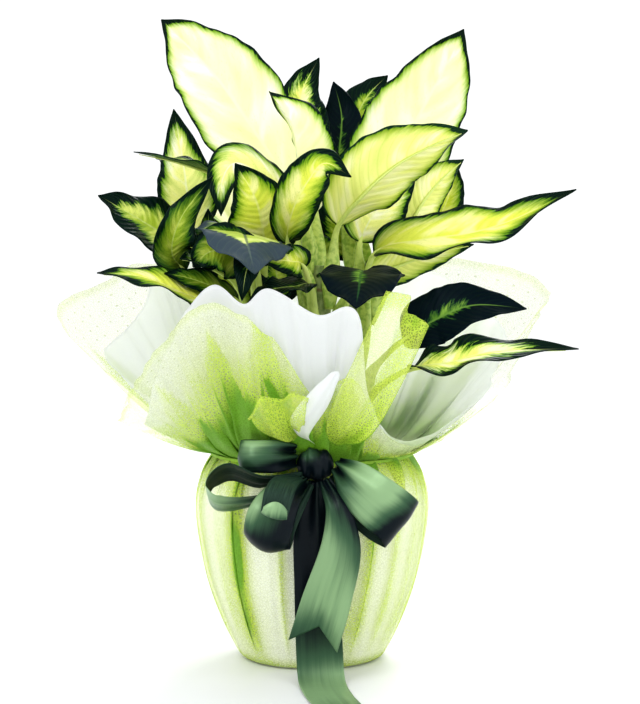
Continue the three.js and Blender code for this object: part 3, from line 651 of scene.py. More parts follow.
# small leaves that fill the heart of the plant and have no solid of their own in the CAD;
# their dark looks paint the shade in the heart of the plant
YOUNG_LEAVES = {
    "young_right": ("right", 292, 54, VIEWER, 14, 0, 2, "deep",
                    [(30, 44, 338), (26, 50, 358), (24, 56, 380), (26, 60, 402)]),
    "young_middle": ("centre", 272, 50, VIEWER, 12, 0, 2, "olive",
                     [(0, 12, 322), (-3, 18, 340), (-6, 24, 360), (-2, 30, 380)]),
    "young_left": ("left", 254, 48, VIEWER, 12, 0, 2, "olive",
                   [(-60, -6, 306), (-63, -12, 322), (-62, -18, 342), (-56, -22, 360)]),
    "young_inner": ("centre", 248, 44, VIEWER, 14, 0, 2, "deep",
                    [(-22, -16, 304), (-28, -20, 320), (-30, -24, 338), (-26, -28, 356)]),
    "young_broad": ("left", 244, 46, (0, -1, 0.3), 10, 0, 3, "olive",
                    [(-50, -84, 338), (-66, -98, 350), (-82, -104, 350), (-95, -104, 338)]),
    "young_hanging": ("left", 238, 26, (0, -0.8, 0.6), 8, 0, 2, "deep",
                      [(-44, -88, 338), (-48, -110, 342), (-52, -122, 334), (-55, -127, 312)]),
}
LEAF_SLOTS = {"cream": "leaf_cream", "dark": "leaf_dark", "night": "leaf_dark", "blue_sheen": "leaf_dark"}
UNDERSIDES = {"dark": "dull", "night": "dull", "blue_sheen": "dull", "olive": "dull"}


def cane_axis(cane, height):
    foot, head = CANES[cane]
    share = (height - CANE_BOTTOM) / (CANE_TOP - CANE_BOTTOM)
    return Vector((lerp(foot[0], head[0], share), lerp(foot[1], head[1], share), height))


def leaf_path(cane, foot_height, midrib):
    """Points of the leaf's middle line: foot, bend of the stalk, then the midrib."""
    neck = Vector(midrib[0])
    axis = cane_axis(cane, foot_height)
    out = neck - axis
    out.z = 0
    out.normalize()

    def touching(steepness):
        return axis + out * (CANE_SIDE + STALK_RADIUS * steepness)

    bend = touching(1).lerp(neck, BEND_REACH)
    bend.z = lerp(foot_height, neck.z, BEND_RISE)
    foot = touching((bend - touching(1)).normalized().z)
    return [foot, bend] + [Vector(p) for p in midrib]


def half_width(width, t):
    widest = SHOULDER / (SHOULDER + TAPER)
    rise = (t / widest) ** SHOULDER
    fall = ((1 - t) / (1 - widest)) ** TAPER
    return max(width / 2 * rise * fall, lerp(STALK_RADIUS * 0.6, THINNEST, t))


def frame_at(points, u, face):
    """Middle, left and upward directions of the blade or stalk at share u of its path."""
    along = tangent(points, u)
    left = along.cross(Vector(face)).normalized()
    return catmull(points, u), left, left.cross(along).normalized()


def make_leaf(name, number, leaf, materials, stalk_material, *replaced):
    cane, foot, width, face, fold, curl, wave, look, midrib = leaf
    slot = LEAF_SLOTS.get(look, "leaf_green")
    points = leaf_path(cane, foot, midrib)
    stalk_share = 2 / (len(midrib) + 1)
    rows = 30 + round(width / 3)
    frames = [frame_at(points, lerp(stalk_share, 1, i / rows), face) for i in range(rows + 1)]
    seed = number * SEED_STEP

    def blade(a, b):
        v = 2 * a - 1
        middle, left, up = frames[round(b * rows)]
        half = half_width(width, b)
        size = abs(v)
        tilt = math.radians(fold + curl * size / 2)
        fade = min(1, half / WAVE_FADE)
        lift = WAVE_HEIGHT * wave * math.sin(2 * math.pi * MARGIN_WAVES * b) * fade * v * v
        ripple = noise.noise(Vector((b * 7, math.copysign(1, v) * 2, seed)))
        lift += RIPPLE_HEIGHT * ripple * fade * size**4
        lift -= MIDRIB_DIP * bell(v * half / 2.0) * smooth(1, 0.7, b)
        reach = size * half * (1 + 0.06 * noise.noise(Vector((b * 14, v, seed + 9))))
        side = math.copysign(reach * math.cos(tilt), v)
        return (middle + left * side + up * (reach * math.sin(tilt) + lift + BLADE / 2)) * MM

    bm = bmesh.new()
    add_sheet(bm, BLADE_COLUMNS, rows, blade)
    bm.normal_update()
    if sum(face.normal.dot(frames[rows // 2][2]) for face in bm.faces) < 0:
        bmesh.ops.reverse_faces(bm, faces=bm.faces)
    inset = bm.verts.layers.float.new("from_margin")
    numbers = bm.verts.layers.float.new("leaf_seed")
    for vert, a, b in sheet_points(bm):
        vert[inset] = half_width(width, b) * (1 - abs(2 * a - 1)) - TIP_INSET * smooth(0.8, 1, b)
        vert[numbers] = seed
    underside = materials[UNDERSIDES.get(look, "underside")]
    piece = add_piece(f"blade_{name}", bm, [materials[look], underside], slot, *replaced)
    thicken(piece, BLADE, underside=True)
    make_stalk(name, points, stalk_share, face, width, slot, stalk_material, *replaced)


def make_stalk(name, points, stalk_share, face, width, slot, material, *replaced):
    """The stalk, winged low down as a sheath. It runs on under the blade as the midrib."""
    frames = [frame_at(points, i / STALK_ROWS * STALK_END, face) for i in range(STALK_ROWS + 1)]
    wing_size, wing_middle, wing_reach = WING
    wing_size *= min(width / WING_BLADE, WING_MOST)

    def radius(u):
        if u < stalk_share:
            up_stalk = u / stalk_share
            return STALK_RADIUS * (lerp(1.05, 0.85, up_stalk) + hump(up_stalk, *SHEATH))
        along_blade = (u - stalk_share) / (1 - stalk_share)
        return lerp(STALK_RADIUS * 0.85, THINNEST, along_blade**0.6)

    def place(a, b):
        u = b * STALK_END
        middle, left, up = frames[round(b * STALK_ROWS)]
        size = radius(u)
        angle = 2 * math.pi * a
        below = (size * 0.75 + MIDRIB_DROP) * smooth(stalk_share * 0.9, stalk_share * 1.2, u)
        depth = hump(angle, *GROOVE) * smooth(stalk_share, stalk_share * 0.4, u)
        wing = 1 + hump(u / stalk_share, wing_size, wing_middle, wing_reach)
        across = left * math.cos(angle) * size * (wing if u < stalk_share else 1)
        return (middle + across + up * (math.sin(angle) * size * (1 - depth) - below)) * MM

    bm = bmesh.new()
    add_sheet(bm, STALK_SIDES, STALK_ROWS, place)
    close_tube(bm)
    add_piece(f"stalk_{name}", bm, [material], slot, *replaced)


# ---- wrapping ---------------------------------------------------------------------------------
NECK_HEIGHT = 178
NECK_RADIUS = 83
BASE_RADIUS = 55
WRAP_WALL = 2.15  # paper, gap and netting together in the CAD
FLARE_POWER = 0.9
RISE_POWER = 1.1
NET_LIFT = 5
# where the paper is set back from the netting's rim: azimuth, half width in radians, share of the slope
PAPER_SET_BACK = [(184, 0.38, 0.27), (16, 0.40, 0.24)]
PAPER_THICKNESS = 0.25
NET_THICKNESS = 0.2
WRAP_UV = (0.95, 0.43)  # about how many metres the map spans round the slope, and from middle to rim

# azimuth, radius and height of the rim, and the share of the slope that the netting covers
RIM = [
    (3, 184, 294, 1.04), (20, 204, 316, 1.05), (40, 168, 346, 0.98), (62, 142, 332, 0.95),
    (85, 132, 346, 0.93), (108, 136, 330, 0.95), (132, 146, 340, 0.95), (158, 150, 371, 0.85),
    (170, 168, 330, 1.0), (184, 205, 301, 1.03), (191, 180, 262, 1.03), (197, 152, 238, 1.03),
    (203, 163, 214, 1.04), (216, 158, 262, 1.0), (232, 162, 307, 0.96), (241, 157, 327, 0.93),
    (249, 150, 311, 0.97), (257, 146, 323, 0.78), (272, 137, 302, 0.5), (285, 134, 304, 0.62),
    (295, 110, 232, 0.85), (318, 104, 194, 1.05), (340, 150, 226, 1.03), (352, 168, 262, 1.03),
]
BODY = [(55, 0), (64, 6), (78, 38), (90.5, 76), (98.5, 128), (94, 158), (83, 178)]

FLOOR_ROWS = 3
BODY_ROWS = 34
SLOPE_ROWS = 40
COLUMNS = 460

# Pleats of the netting down the body: azimuth and half width in degrees, lean, how bunched they are
BODY_PLEATS = [
    (188, 4, 2, 0.50), (199, 3, 2, 0.30), (216, 2, 1, 0.15), (228, 4, 2, 1.05), (235, 2, 3, 0.45),
    (255, 1.5, 2, 0.40), (268, 2, -1, 0.15), (289, 2, -2, 0.30), (301, 4, 6, 0.80), (316, 3, 4, 0.40),
    (331, 4, 3, 0.25), (346, 5, 3, 0.45), (4, 3, -3, 0.30), (21, 4, 4, 0.70), (38, 2, 2, 0.25),
    (55, 3, -2, 0.45), (76, 4, 4, 0.75), (92, 2, -3, 0.25), (109, 4, 2, 0.50), (127, 3, 4, 0.70),
    (146, 2, -3, 0.30), (163, 4, 3, 0.60),
]
# Short dark streaks on the body, painted as the shade of deep tucks that its shape leaves out:
# azimuth and half width in degrees, lowest and highest level, strength
TUCK_SHADOWS = [(230.5, 3, -0.62, -0.28, 0.95), (300, 2.5, -0.50, -0.12, 0.55), (20, 2.5, -0.6, -0.2, 0.5)]
# Fans of netting up the slope: azimuth and half width in degrees, and how far up they stay gathered
FANS = [
    (205, 6, 0.30), (219, 7, 0.50), (231, 6, 0.74), (243, 5, 0.62), (254, 6, 0.80), (266, 5, 0.60),
    (278, 5, 0.62), (291, 5, 0.60), (303, 5, 0.70), (317, 5, 0.50), (333, 6, 0.36), (350, 5, 0.42),
    (12, 6, 0.34), (34, 6, 0.55), (52, 5, 0.42), (74, 7, 0.58), (96, 6, 0.44), (115, 6, 0.60),
    (138, 6, 0.46), (160, 6, 0.56), (180, 6, 0.34), (192, 5, 0.46),
]
# Netting that lies double up the slope: azimuth of the sharp edge at the neck and at the rim, how wide
# the second layer is in degrees (below 0: on the other side), how far up it goes, how much it covers
LAYERS = [
    (250, 235, -13, 0.84, 0.40), (272, 252, -15, 0.97, 0.34), (228, 213, -9, 0.90, 0.30),
    (262, 246, 10, 0.62, 0.34), (212, 200, 9, 0.80, 0.26), (287, 297, 8, 0.85, 0.30),
    (322, 332, 10, 0.90, 0.30), (345, 356, -9, 0.80, 0.26), (12, 20, 9, 0.70, 0.24),
    (40, 27, -12, 0.85, 0.28), (64, 74, 10, 0.80, 0.26), (92, 80, -11, 0.90, 0.30),
    (118, 131, 12, 0.85, 0.28), (146, 138, -10, 0.75, 0.26), (176, 187, 9, 0.80, 0.26),
]
NECK_FOLDS = 40
NECK_FOLD_HALF = 0.05  # half width of a gather at the neck, in radians
FOLD_REACH = 4  # half widths from its middle beyond which a fold is nothing
PLEATS_UPRIGHT = -0.4  # level at which a leaning pleat is at its azimuth
PLEATS_FADE = 0.35  # level up the slope at which the pleats of the body have run out
FOLD_SEED = 11
FRONT_FAN = 250  # azimuth of the broad fan left of the bow


def rim_at(turn):
    """Azimuth, radius, height and net cover of the rim at share turn of the way round."""
    crests = [
        Vector((radius * math.cos(math.radians(at)), radius * math.sin(math.radians(at)), height))
        for at, radius, height, _ in RIM
    ]
    point = catmull(crests, turn, closed=True)
    place = turn * len(RIM)
    k = math.floor(place)
    cover = lerp(RIM[k % len(RIM)][3], RIM[(k + 1) % len(RIM)][3], smooth(0, 1, place - k))
    return math.atan2(point.y, point.x), math.hypot(point.x, point.y), point.z, cover


def away_from(azimuth, degrees):
    """How far an azimuth in radians is from one in degrees, between -pi and pi."""
    return (azimuth - math.radians(degrees) + math.pi) % (2 * math.pi) - math.pi


def off_fold(azimuth, at, half):
    """How many half widths an azimuth is from the middle of a fold; at and half are in degrees."""
    return away_from(azimuth, at) / math.radians(half)


def off_pleat(azimuth, level, at, half, lean):
    return off_fold(azimuth, at + lean * (level - PLEATS_UPRIGHT), half)


def ring_noise(azimuth, scale, height):
    """Noise that runs on round the pot without a seam; a larger scale makes it finer."""
    return noise.noise(Vector((math.cos(azimuth) * scale, math.sin(azimuth) * scale, height)))


def paper_cover(azimuth):
    """Share of the slope that the paper covers; at the two sides the netting reaches on alone."""
    cover = 1
    for at, half, depth in PAPER_SET_BACK:
        cover -= depth * bell(away_from(azimuth, at) / half)
    return cover


def neck_folds():
    """Folds of the gathered sheets: where each is, in degrees, and its half width at the neck."""
    folds = []
    for k in range(NECK_FOLDS):
        jitter = noise.noise(Vector((k * 3.1, FOLD_SEED, 0.5)))
        size = 5.5 + 3.0 * noise.noise(Vector((k * 1.7, FOLD_SEED, 4.5)))
        folds.append((360 * (k + 0.9 * jitter) / NECK_FOLDS, size))
    return folds


def crest(azimuth, level):
    """Near 0 along the sharp creases that run up the slope."""
    return ring_noise(azimuth, 13, 40 + level)


def body_bunching(azimuth, level):
    patch = ring_noise(azimuth, 2.6, 7 + level * 2.2)
    bunched = 0.07 + 0.16 * patch + hump(level, 0.5, -0.01, 0.06) + 0.4 * smooth(-0.93, -1.0, level)
    for at, half, lean, strength in BODY_PLEATS:
        x = off_pleat(azimuth, level, at, half, lean)
        fade = smooth(-1.0, -0.75, level) * (1 - 0.35 * noise.noise(Vector((at, level * 5, 2))))
        bunched += strength * bell(x) * fade
    # painted shade of the tucks
    for at, half, low, high, strength in TUCK_SHADOWS:
        x = off_fold(azimuth, at, half)
        bunched += strength * bell(x) * smooth(low, low + 0.15, level) * smooth(high, high - 0.1, level)
    return min(max(bunched, 0), 1)


def slope_bunching(azimuth, level):
    front = bell(away_from(azimuth, FRONT_FAN) / 0.6)
    bunched = (0.85 + 0.1 * front) * (1 - min(level, 1)) ** (3.4 - 1.2 * front)
    for low, high, width, reach, strength in LAYERS:
        x = off_fold(azimuth, lerp(low, high, level), width)
        if 0 < x < 1:
            bunched += strength * (1 - x) * smooth(reach, reach - 0.06, level + 0.35 * x)
    for at, half, reach in FANS:
        x = off_fold(azimuth, at, half * (0.75 + 0.5 * level))
        bunched += 0.5 * bell(x) * smooth(reach * 1.3, reach * 0.15, level)
    bunched += 0.3 * bell(crest(azimuth, level) / 0.06) * smooth(0, 0.15, level) * smooth(0.95, 0.3, level)
    return min(bunched, 1)


def bunching(azimuth, level):
    """How gathered the netting is: 0 where one layer lies flat, 1 where it is drawn in at the neck."""
    return body_bunching(azimuth, level) if level < 0 else slope_bunching(azimuth, level)


def fold_offset(x):
    return -x * bell(x)


def folds_at(azimuth, level, netting, gathers):
    """Every fold near a place of the sheet: how far it turns it, in radians, and moves it out, in mm."""
    if netting and level < PLEATS_FADE:
        size = smooth(-1.02, -0.8, level) * smooth(PLEATS_FADE, 0.0, level)
        for at, half, lean, strength in BODY_PLEATS:
            x = off_pleat(azimuth, level, at, half, lean)
            if abs(x) < FOLD_REACH:
                turn = fold_offset(x) * math.radians(half) * 1.5 * size * strength
                yield turn, (fold_offset(x) + 0.8 * bell(x / 1.4)) * 1.6 * strength * size
    gather = bell((level + 0.02) / 0.13) if level < 0 else (1 - min(level, 1)) ** 2.2
    if gather > 0.01:
        for at, half in gathers:
            x = away_from(azimuth, at) / NECK_FOLD_HALF
            if abs(x) < FOLD_REACH:
                turn = fold_offset(x) * half / 0.6 / NECK_RADIUS * gather
                yield turn, fold_offset(x) * (2.0 if netting else 1.2) * gather
    if level > 0:
        billow = min(level / 0.12, 1) * (1 - min(level, 1)) ** 0.8
        for at, half, reach in FANS:
            x = off_fold(azimuth, at, half)
            if abs(x) < FOLD_REACH:
                turn = fold_offset(x) * math.radians(half) * (0.9 if netting else 0.3) * billow * reach
                yield turn, (fold_offset(x) + 0.7 * bell(x)) * (5.0 if netting else 2.0) * billow


def swell_at(azimuth, height, level, netting):
    """How far the sheet stands out between its folds. The netting keeps to the paper under it."""
    if level <= -0.98:
        return 0
    pleat = ring_noise(azimuth, 9, FOLD_SEED + height * 0.004)
    fine = ring_noise(azimuth, 22, FOLD_SEED + height * 0.012)
    grow = 0.8 + (5.0 * min(level, 1) if level > 0 else 0)
    swell = pleat * grow + fine * 0.5
    swell *= smooth(-1.0, -0.85, level) if level < 0 else 1
    if level > 0:
        crisp = 0.5 - 2 * abs(crest(azimuth, level))
        swell += crisp * 4.0 * smooth(0.03, 0.25, level) * smooth(1.1, 0.6, level)
    if netting:
        loose = ring_noise(azimuth, 14, height * 0.02)
        swell += abs(loose) * (1.2 if level < 0 else 1.2 + 4 * level)
    return swell


def make_wrap(name, slot, material, node, *, outside, netting, thickness):
    """A sheet gathered round the pot. outside is how far it stands off the inner face in the CAD."""
    rows = FLOOR_ROWS + BODY_ROWS + SLOPE_ROWS
    gathers = neck_folds()
    rims = [rim_at(j / COLUMNS) for j in range(COLUMNS)]
    body = [Vector((radius - WRAP_WALL, height, 0)) for radius, height in BODY]

    def profile(j, i):
        """Radius and height of row i, and its level: -1 to 0 up the body, then 0 to 1 up the slope."""
        azimuth, rim_radius, rim_height, cover = rims[j % COLUMNS]
        if i <= FLOOR_ROWS:
            return BASE_RADIUS * i / FLOOR_ROWS, 0.0, -1.0
        if i <= FLOOR_ROWS + BODY_ROWS:
            point = catmull(body, (i - FLOOR_ROWS) / BODY_ROWS)
            return point.x, max(point.y, 0), point.y / NECK_HEIGHT - 1
        s = (i - FLOOR_ROWS - BODY_ROWS) / SLOPE_ROWS
        s *= cover if netting else paper_cover(azimuth)
        start = NECK_RADIUS - WRAP_WALL
        radius = start + (rim_radius - start) * s**FLARE_POWER
        return radius, NECK_HEIGHT + (rim_height - NECK_HEIGHT) * s**RISE_POWER, s

    def place(a, b):
        j = round(a * COLUMNS)
        i = round(b * rows)
        if i == 0:
            return Vector((0, 0, outside * 0.5)) * MM
        azimuth = rims[j % COLUMNS][0]
        radius, height, level = profile(j, i)
        shift = offset = 0
        for turn, push in folds_at(azimuth, level, netting, gathers):
            shift += turn
            offset += push
        angle = azimuth + shift
        radius += swell_at(azimuth, height, level, netting) + offset
        point = Vector((radius * math.cos(angle), radius * math.sin(angle), height))
        lower = smooth(-1.0, -0.75, level) if level < 0 else 1
        stand = outside * lerp(0.4, 1, lower) + (NET_LIFT * level if netting and level > 0 else 0)
        if level <= -0.999:
            point.z += stand
            return point * MM
        steep = smooth(-0.2, 0.6, level) * 0.6
        out = Vector((math.cos(angle) * (1 - steep * 0.4), math.sin(angle) * (1 - steep * 0.4), -steep))
        point += out.normalized() * stand
        point.z = max(point.z, outside * 0.5)
        return point * MM

    bm = bmesh.new()
    add_sheet(bm, COLUMNS, rows, place)
    gathered = bm.verts.layers.float.new("gathered")
    for vert, a, b in sheet_points(bm):
        j = round(a * COLUMNS)
        level = profile(j, round(b * rows))[2]
        hem = 0.2 * smooth(0.972, 0.99, b)
        vert[gathered] = min(bunching(rims[j % COLUMNS][0], level) + hem, 1)
    uv = bm.loops.layers.uv["UVMap"]
    for face in bm.faces:
        for loop in face.loops:
            a, b = loop[uv].uv
            loop[uv].uv = (a * WRAP_UV[0], b * WRAP_UV[1])
    bmesh.ops.remove_doubles(bm, verts=bm.verts, dist=WELD)
    bmesh.ops.recalc_face_normals(bm, faces=bm.faces)
    piece = add_piece(name, bm, [material], slot, node)
    thicken(piece, thickness)
    return piece


def make_paper_material():
    """Thin white paper with a painted lime shade towards the neck, as light comes to it through the lime
    netting.

    Light comes through it above the neck, less so at the front, where it lies double.
    """
    material, tree, shader = new_material("paper")
    place = object_place(tree)
    parts = split(tree, place)
    height = parts[2]
    fibre = cloud(tree, place, 900.0, 4.0, 0.7)
    blotch = cloud(tree, place, 60.0, 2.0)
    relief = plus(tree, fibre, times(tree, blotch, 0.6))
    white = blend(tree, ramp(tree, fibre, 0.35, 0.7), (0.93, 0.94, 0.955), (0.95, 0.96, 0.97))
    # painted shade: the paper is tinted lime near the neck, as by light through the lime netting
    lime_shade = ramp(tree, plus(tree, height, times(tree, blotch, 0.03)), 0.185, 0.235, 0.4, 0.0)
    above = ramp(tree, height, 0.168, 0.185)
    color = blend(tree, times(tree, lime_shade, above), white, (0.62, 0.82, 0.24))
    feed(tree, shader, Base_Color=color, Roughness=0.8, Normal=bump(tree, relief, 0.25, 0.4))
    through = put(tree, "ShaderNodeBsdfTranslucent", {"Color": color})
    single = ramp(tree, parts[1], -0.12, -0.06, 0.56, 1.0)
    lit_through = times(tree, ramp(tree, height, 0.168, 0.195, 0.04, 0.84), single)
    inputs = {0: lit_through, 1: shader.outputs[0], 2: through.outputs[0]}
    mixed = put(tree, "ShaderNodeMixShader", inputs)
    tree.links.new(mixed.outputs[0], tree.nodes["Material Output"].inputs["Surface"])
    return material


def make_net_material():
    """Lime netting of fine threads with small flocked dots, clear where flat and deep where gathered,
    with painted shade in its holes and in its heaped folds.
    """
    material, tree, shader = new_material("net")
    parts = uv_parts(tree)
    place = object_place(tree)
    bunched = carried(tree, "gathered")
    flat = minus(tree, 1.0, bunched)
    mesh = {"Vector": place, "Scale": 480.0}
    cells = put(tree, "ShaderNodeTexVoronoi", mesh, feature="DISTANCE_TO_EDGE").outputs["Distance"]
    thread = ramp(tree, cells, 0.05, 0.18, 1.0, 0.0)
    hole = minus(tree, 1.0, thread)
    grid = {"Vector": stretched(tree, parts, (118.0, 80.0)), "Scale": 1.0, "Randomness": 0.12}
    dots = put(tree, "ShaderNodeTexVoronoi", grid, voronoi_dimensions="2D").outputs["Distance"]
    higher = ramp(tree, split(tree, place)[2], 0.16, 0.26, 0.06, 0.28)
    dot = times(tree, ramp(tree, dots, 0.07, 0.12, 1.0, 0.0), higher)

    clear = plus(tree, times(tree, thread, 0.08), 0.07)
    deep = plus(tree, times(tree, thread, 0.25), 0.55)
    # heaped netting is denser, and its folds carry a painted shadow of near-black green
    heaped_and_shaded = ramp(tree, bunched, 0.72, 1.0)
    cover = plus(tree, times(tree, clear, flat), times(tree, deep, bunched))
    cover = plus(tree, cover, times(tree, heaped_and_shaded, 0.25))
    cover = calc(tree, "MAXIMUM", cover, dot)

    # the lime deepens as the netting gathers; where it is gathered most it is also painted darker, as
    # shade
    color = blend(tree, ramp(tree, bunched, 0.0, 0.5), (0.86, 0.94, 0.38), (0.70, 0.85, 0.12))
    color = blend(tree, ramp(tree, bunched, 0.55, 1.0), color, (0.40, 0.63, 0.012))
    color = blend(tree, times(tree, heaped_and_shaded, 0.8), color, (0.09, 0.30, 0.010))
    # painted shade seen through the holes of gathered netting
    shade_in_holes = times(tree, times(tree, hole, bunched), 0.4)
    color = blend(tree, shade_in_holes, color, (0.16, 0.36, 0.004))
    color = blend(tree, times(tree, dot, flat), color, (0.36, 0.48, 0.06))
    feed(
        tree, shader,
        Base_Color=color,
        Roughness=0.6,
        Alpha=cover,
        Sheen_Weight=0.2,
        Sheen_Tint=(0.8, 1.0, 0.4),
        Normal=bump(tree, thread, 0.15, 0.5),
    )
    return material


def make_cord_material():
    material, tree, shader = new_material("cord")
    fibre = cloud(tree, object_place(tree), 800.0, 3.0)
    color = blend(tree, fibre, (0.16, 0.34, 0.02), (0.42, 0.66, 0.06))
    feed(tree, shader, Base_Color=color, Roughness=0.7, Normal=bump(tree, fibre, 0.4))
    return material


# ---- ribbon -----------------------------------------------------------------------------------
RIBBON = 0.4
RIBBON_WIDTH = 0.038  # as cut, in metres
INNER_WIDTH = 0.022  # the little loop in the rosette is of a narrower cut
NET_FOLD_WIDTH = 0.055
CURL_WIDTH = 0.019
KNOT = ((3, -98.6, 178), (15, 9.6, 13))
SWALLOWTAIL = 18
STRIP_ROWS = 90
STRIP_COLUMNS = 24

# stations: centre, direction across, width, how far the middle stands proud, and painted shade: 0 is the
# sage of the satin in the light, 1 the navy of its folds in shadow; lean paints one edge darker than the
# other
RIBBON_LOOPS = {
    "loop_upper_left": [
        ((-12.2, -100, 186), (0, 0.2, 1), 18, 0, 1.0, 0),
        ((-28, -116, 187), (0, 0.2, 1), 26, 3, 0.75, -0.3),
        ((-48, -118, 187), (0, 0.2, 1), 26, 5, 0.4, -0.45),
        ((-56, -107, 186), (0, 0.2, 1), 26, 3, 0.7, 0),
        ((-44, -97, 187), (0, 0.2, 1), 22, 2, 0.9, 0),
        ((-12.6, -95.4, 186.5), (0, 0.2, 1), 12, 0, 1, 0),
    ],
    "loop_left": [
        ((-8.6, -102, 171), (0, 1, -0.3), 8, 0, 1, 0),
        ((-40, -114, 166), (0, 1, -0.5), 30, 2, 0.8, 0),
        ((-66, -114, 174), (0, 1, -0.6), 36, 2, 0.6, 0),
        ((-81, -114, 162), (0, 1, -0.6), 36, 3, 0.2, 0.1),
        ((-74, -116, 149), (0, 1, -0.6), 34, 2, 0.25, 0.2),
        ((-42, -114, 152), (0, 1, -0.5), 22, 1, 0.7, 0),
        ((-6.6, -101.5, 167.6), (0, 1, -0.3), 8, 0, 1, 0),
    ],
    "loop_lower_left": [
        ((-5, -105, 167), (-0.9, 0, 0.4), 10, 0, 1, 0),
        ((-20, -133, 160), (-0.9, 0, 0.42), 28, 3, 0.75, -0.2),
        ((-31, -146, 144), (-0.92, 0, 0.38), 38, 6, 0.6, -0.6),
        ((-35, -142, 127), (-0.95, 0, 0.3), 38, 9, 0.95, -0.1),
        ((-34, -128, 122), (-0.95, 0, 0.3), 38, 9, 0.95, 0),
        ((-26, -120, 136), (-0.92, 0, 0.35), 32, 4, 1, 0),
        ((-2, -104.6, 164), (-0.9, 0, 0.4), 10, 0, 1, 0),
    ],
    "loop_right": [
        ((19, -102, 178), (-0.4, 0, -0.9), 14, 0, 0.95, 0),
        ((32, -119, 168), (-0.55, 0, -0.83), 34, 2, 0.35, 0.35),
        ((52, -130, 152), (-0.6, 0.1, -0.79), 43, 4, 0.02, 0.2),
        ((69, -126, 138), (-0.62, 0, -0.78), 43, 4, 1.0, 0.3),
        ((68, -112, 132), (-0.62, 0, -0.78), 43, 3, 1, 0),
        ((46, -105, 144), (-0.6, 0, -0.8), 38, 0, 1, 0),
        ((19, -96, 172), (-0.4, 0, -0.9), 12, 0, 1, 0),
    ],
}
INNER_LOOP = [
    ((-10, -110, 169), (0.9, 0, -0.3), 12, 0, 1, 0),
    ((-20, -140, 170), (0.9, 0, -0.25), 20, -1, 1, 0),
    ((-25, -158, 163), (0.9, 0, -0.25), 23, -2, 1, 0),
    ((-28, -166, 152), (0.9, 0, -0.25), 22, 1, 0.9, 0),
    ((-29, -171, 147), (0.9, 0, -0.25), 21, 2, 0.55, 0.1),
    ((-28, -174, 152), (0.9, 0, -0.25), 20, 3, 0.15, 0.2),
    ((-27, -172, 158), (0.9, 0, -0.25), 19, 3, 0.1, 0.2),
]
RIBBON_TAILS = {
    "tail_front": [
        ((10, -107, 167), (-1, 0, -0.1), 10, 0, 1, 0),
        ((21, -123, 145), (-1, 0, -0.15), 20, 3, 0.75, -0.35),
        ((23, -125, 112), (-1, 0, -0.2), 33, 3, 0.28, -0.35),
        ((12, -118, 70), (-1, 0, -0.25), 40, 2, 0.12, 0.08),
        ((1, -114, 32), (-1, 0, -0.25), 41, 1, 0.5, 0.2),
    ],
    "tail_long": [
        ((3.5, -100, 165), (-1, 0, 0), 14, 0, 1, 0),
        ((2, -108, 130), (-1, 0, 0), 32, 2, 1, 0),
        ((4, -106, 80), (-1, 0, 0), 36, 1, 0.95, 0),
        ((6, -101, 34), (-1, 0, 0), 38, 0, 0.7, 0),
        ((8, -110, 5), (-1, 0, 0), 38, 0, 0.22, 0.1),
        ((13, -146, 1.2), (-1, -0.1, 0), 38, 0, 0.05, -0.1),
        ((20, -182, 1.2), (-1, -0.15, 0), 38, 0, 0.2, -0.1),
        ((27, -218, 1.2), (-1, -0.15, 0), 38, 0, 0.25, -0.2),
    ],
}
NET_FOLDS = {
    "net_fold": [
        ((16, -98.5, 196.5), (0.9, 0, -0.4), 14, 0, 0.8, 0.1),
        ((31, -117.5, 214), (0.9, 0.1, -0.4), 38, 2, 0.5, 0.25),
        ((53, -125.5, 256), (0.92, 0.2, -0.3), 43, 3, 0.34, 0.22),
        ((82, -109, 316), (0.9, 0.2, -0.35), 43, 2, 0.34, 0.15),
    ],
    "net_ruffle": [
        ((-10, -96.9, 197.5), (1, 0, 0.2), 14, 0, 0.8, 0),
        ((-22, -124, 214), (1, 0, 0.2), 40, 5, 0.55, 0),
        ((-30, -138, 240), (1, 0, 0.1), 52, 6, 0.28, 0),
    ],
}
# a curl of the paper that stands out of the gathers above the bow
PAPER_CURL = [
    ((-1, -97, 197), (0.75, 0, -0.66), 10, 0, 0, 0),
    ((-9, -119, 211), (0.7, 0, -0.7), 19, 4, 0, 0),
    ((5, -128, 233), (0.72, 0.2, -0.68), 19, 5, 0, 0),
    ((21, -131, 257), (0.75, 0.2, -0.62), 9, 2, 0, 0),
]


def strip_frame(stations, u):
    """Middle, along, across, outward, width, proudness, shade and its lean at share u of a strip."""
    centres = [Vector(s[0]) for s in stations]
    acrosses = [Vector(s[1]).normalized() for s in stations]
    along = tangent(centres, u)
    across = catmull(acrosses, u)
    across = (across - along * across.dot(along)).normalized()
    numbers = [catmull_number([s[k] for s in stations], u) for k in (2, 3, 4, 5)]
    return catmull(centres, u), along, across, across.cross(along).normalized(), *numbers


def strip_length(stations):
    centres = [Vector(s[0]) for s in stations]
    steps = [catmull(centres, i / 60) for i in range(61)]
    return sum((b - a).length for a, b in zip(steps, steps[1:]))


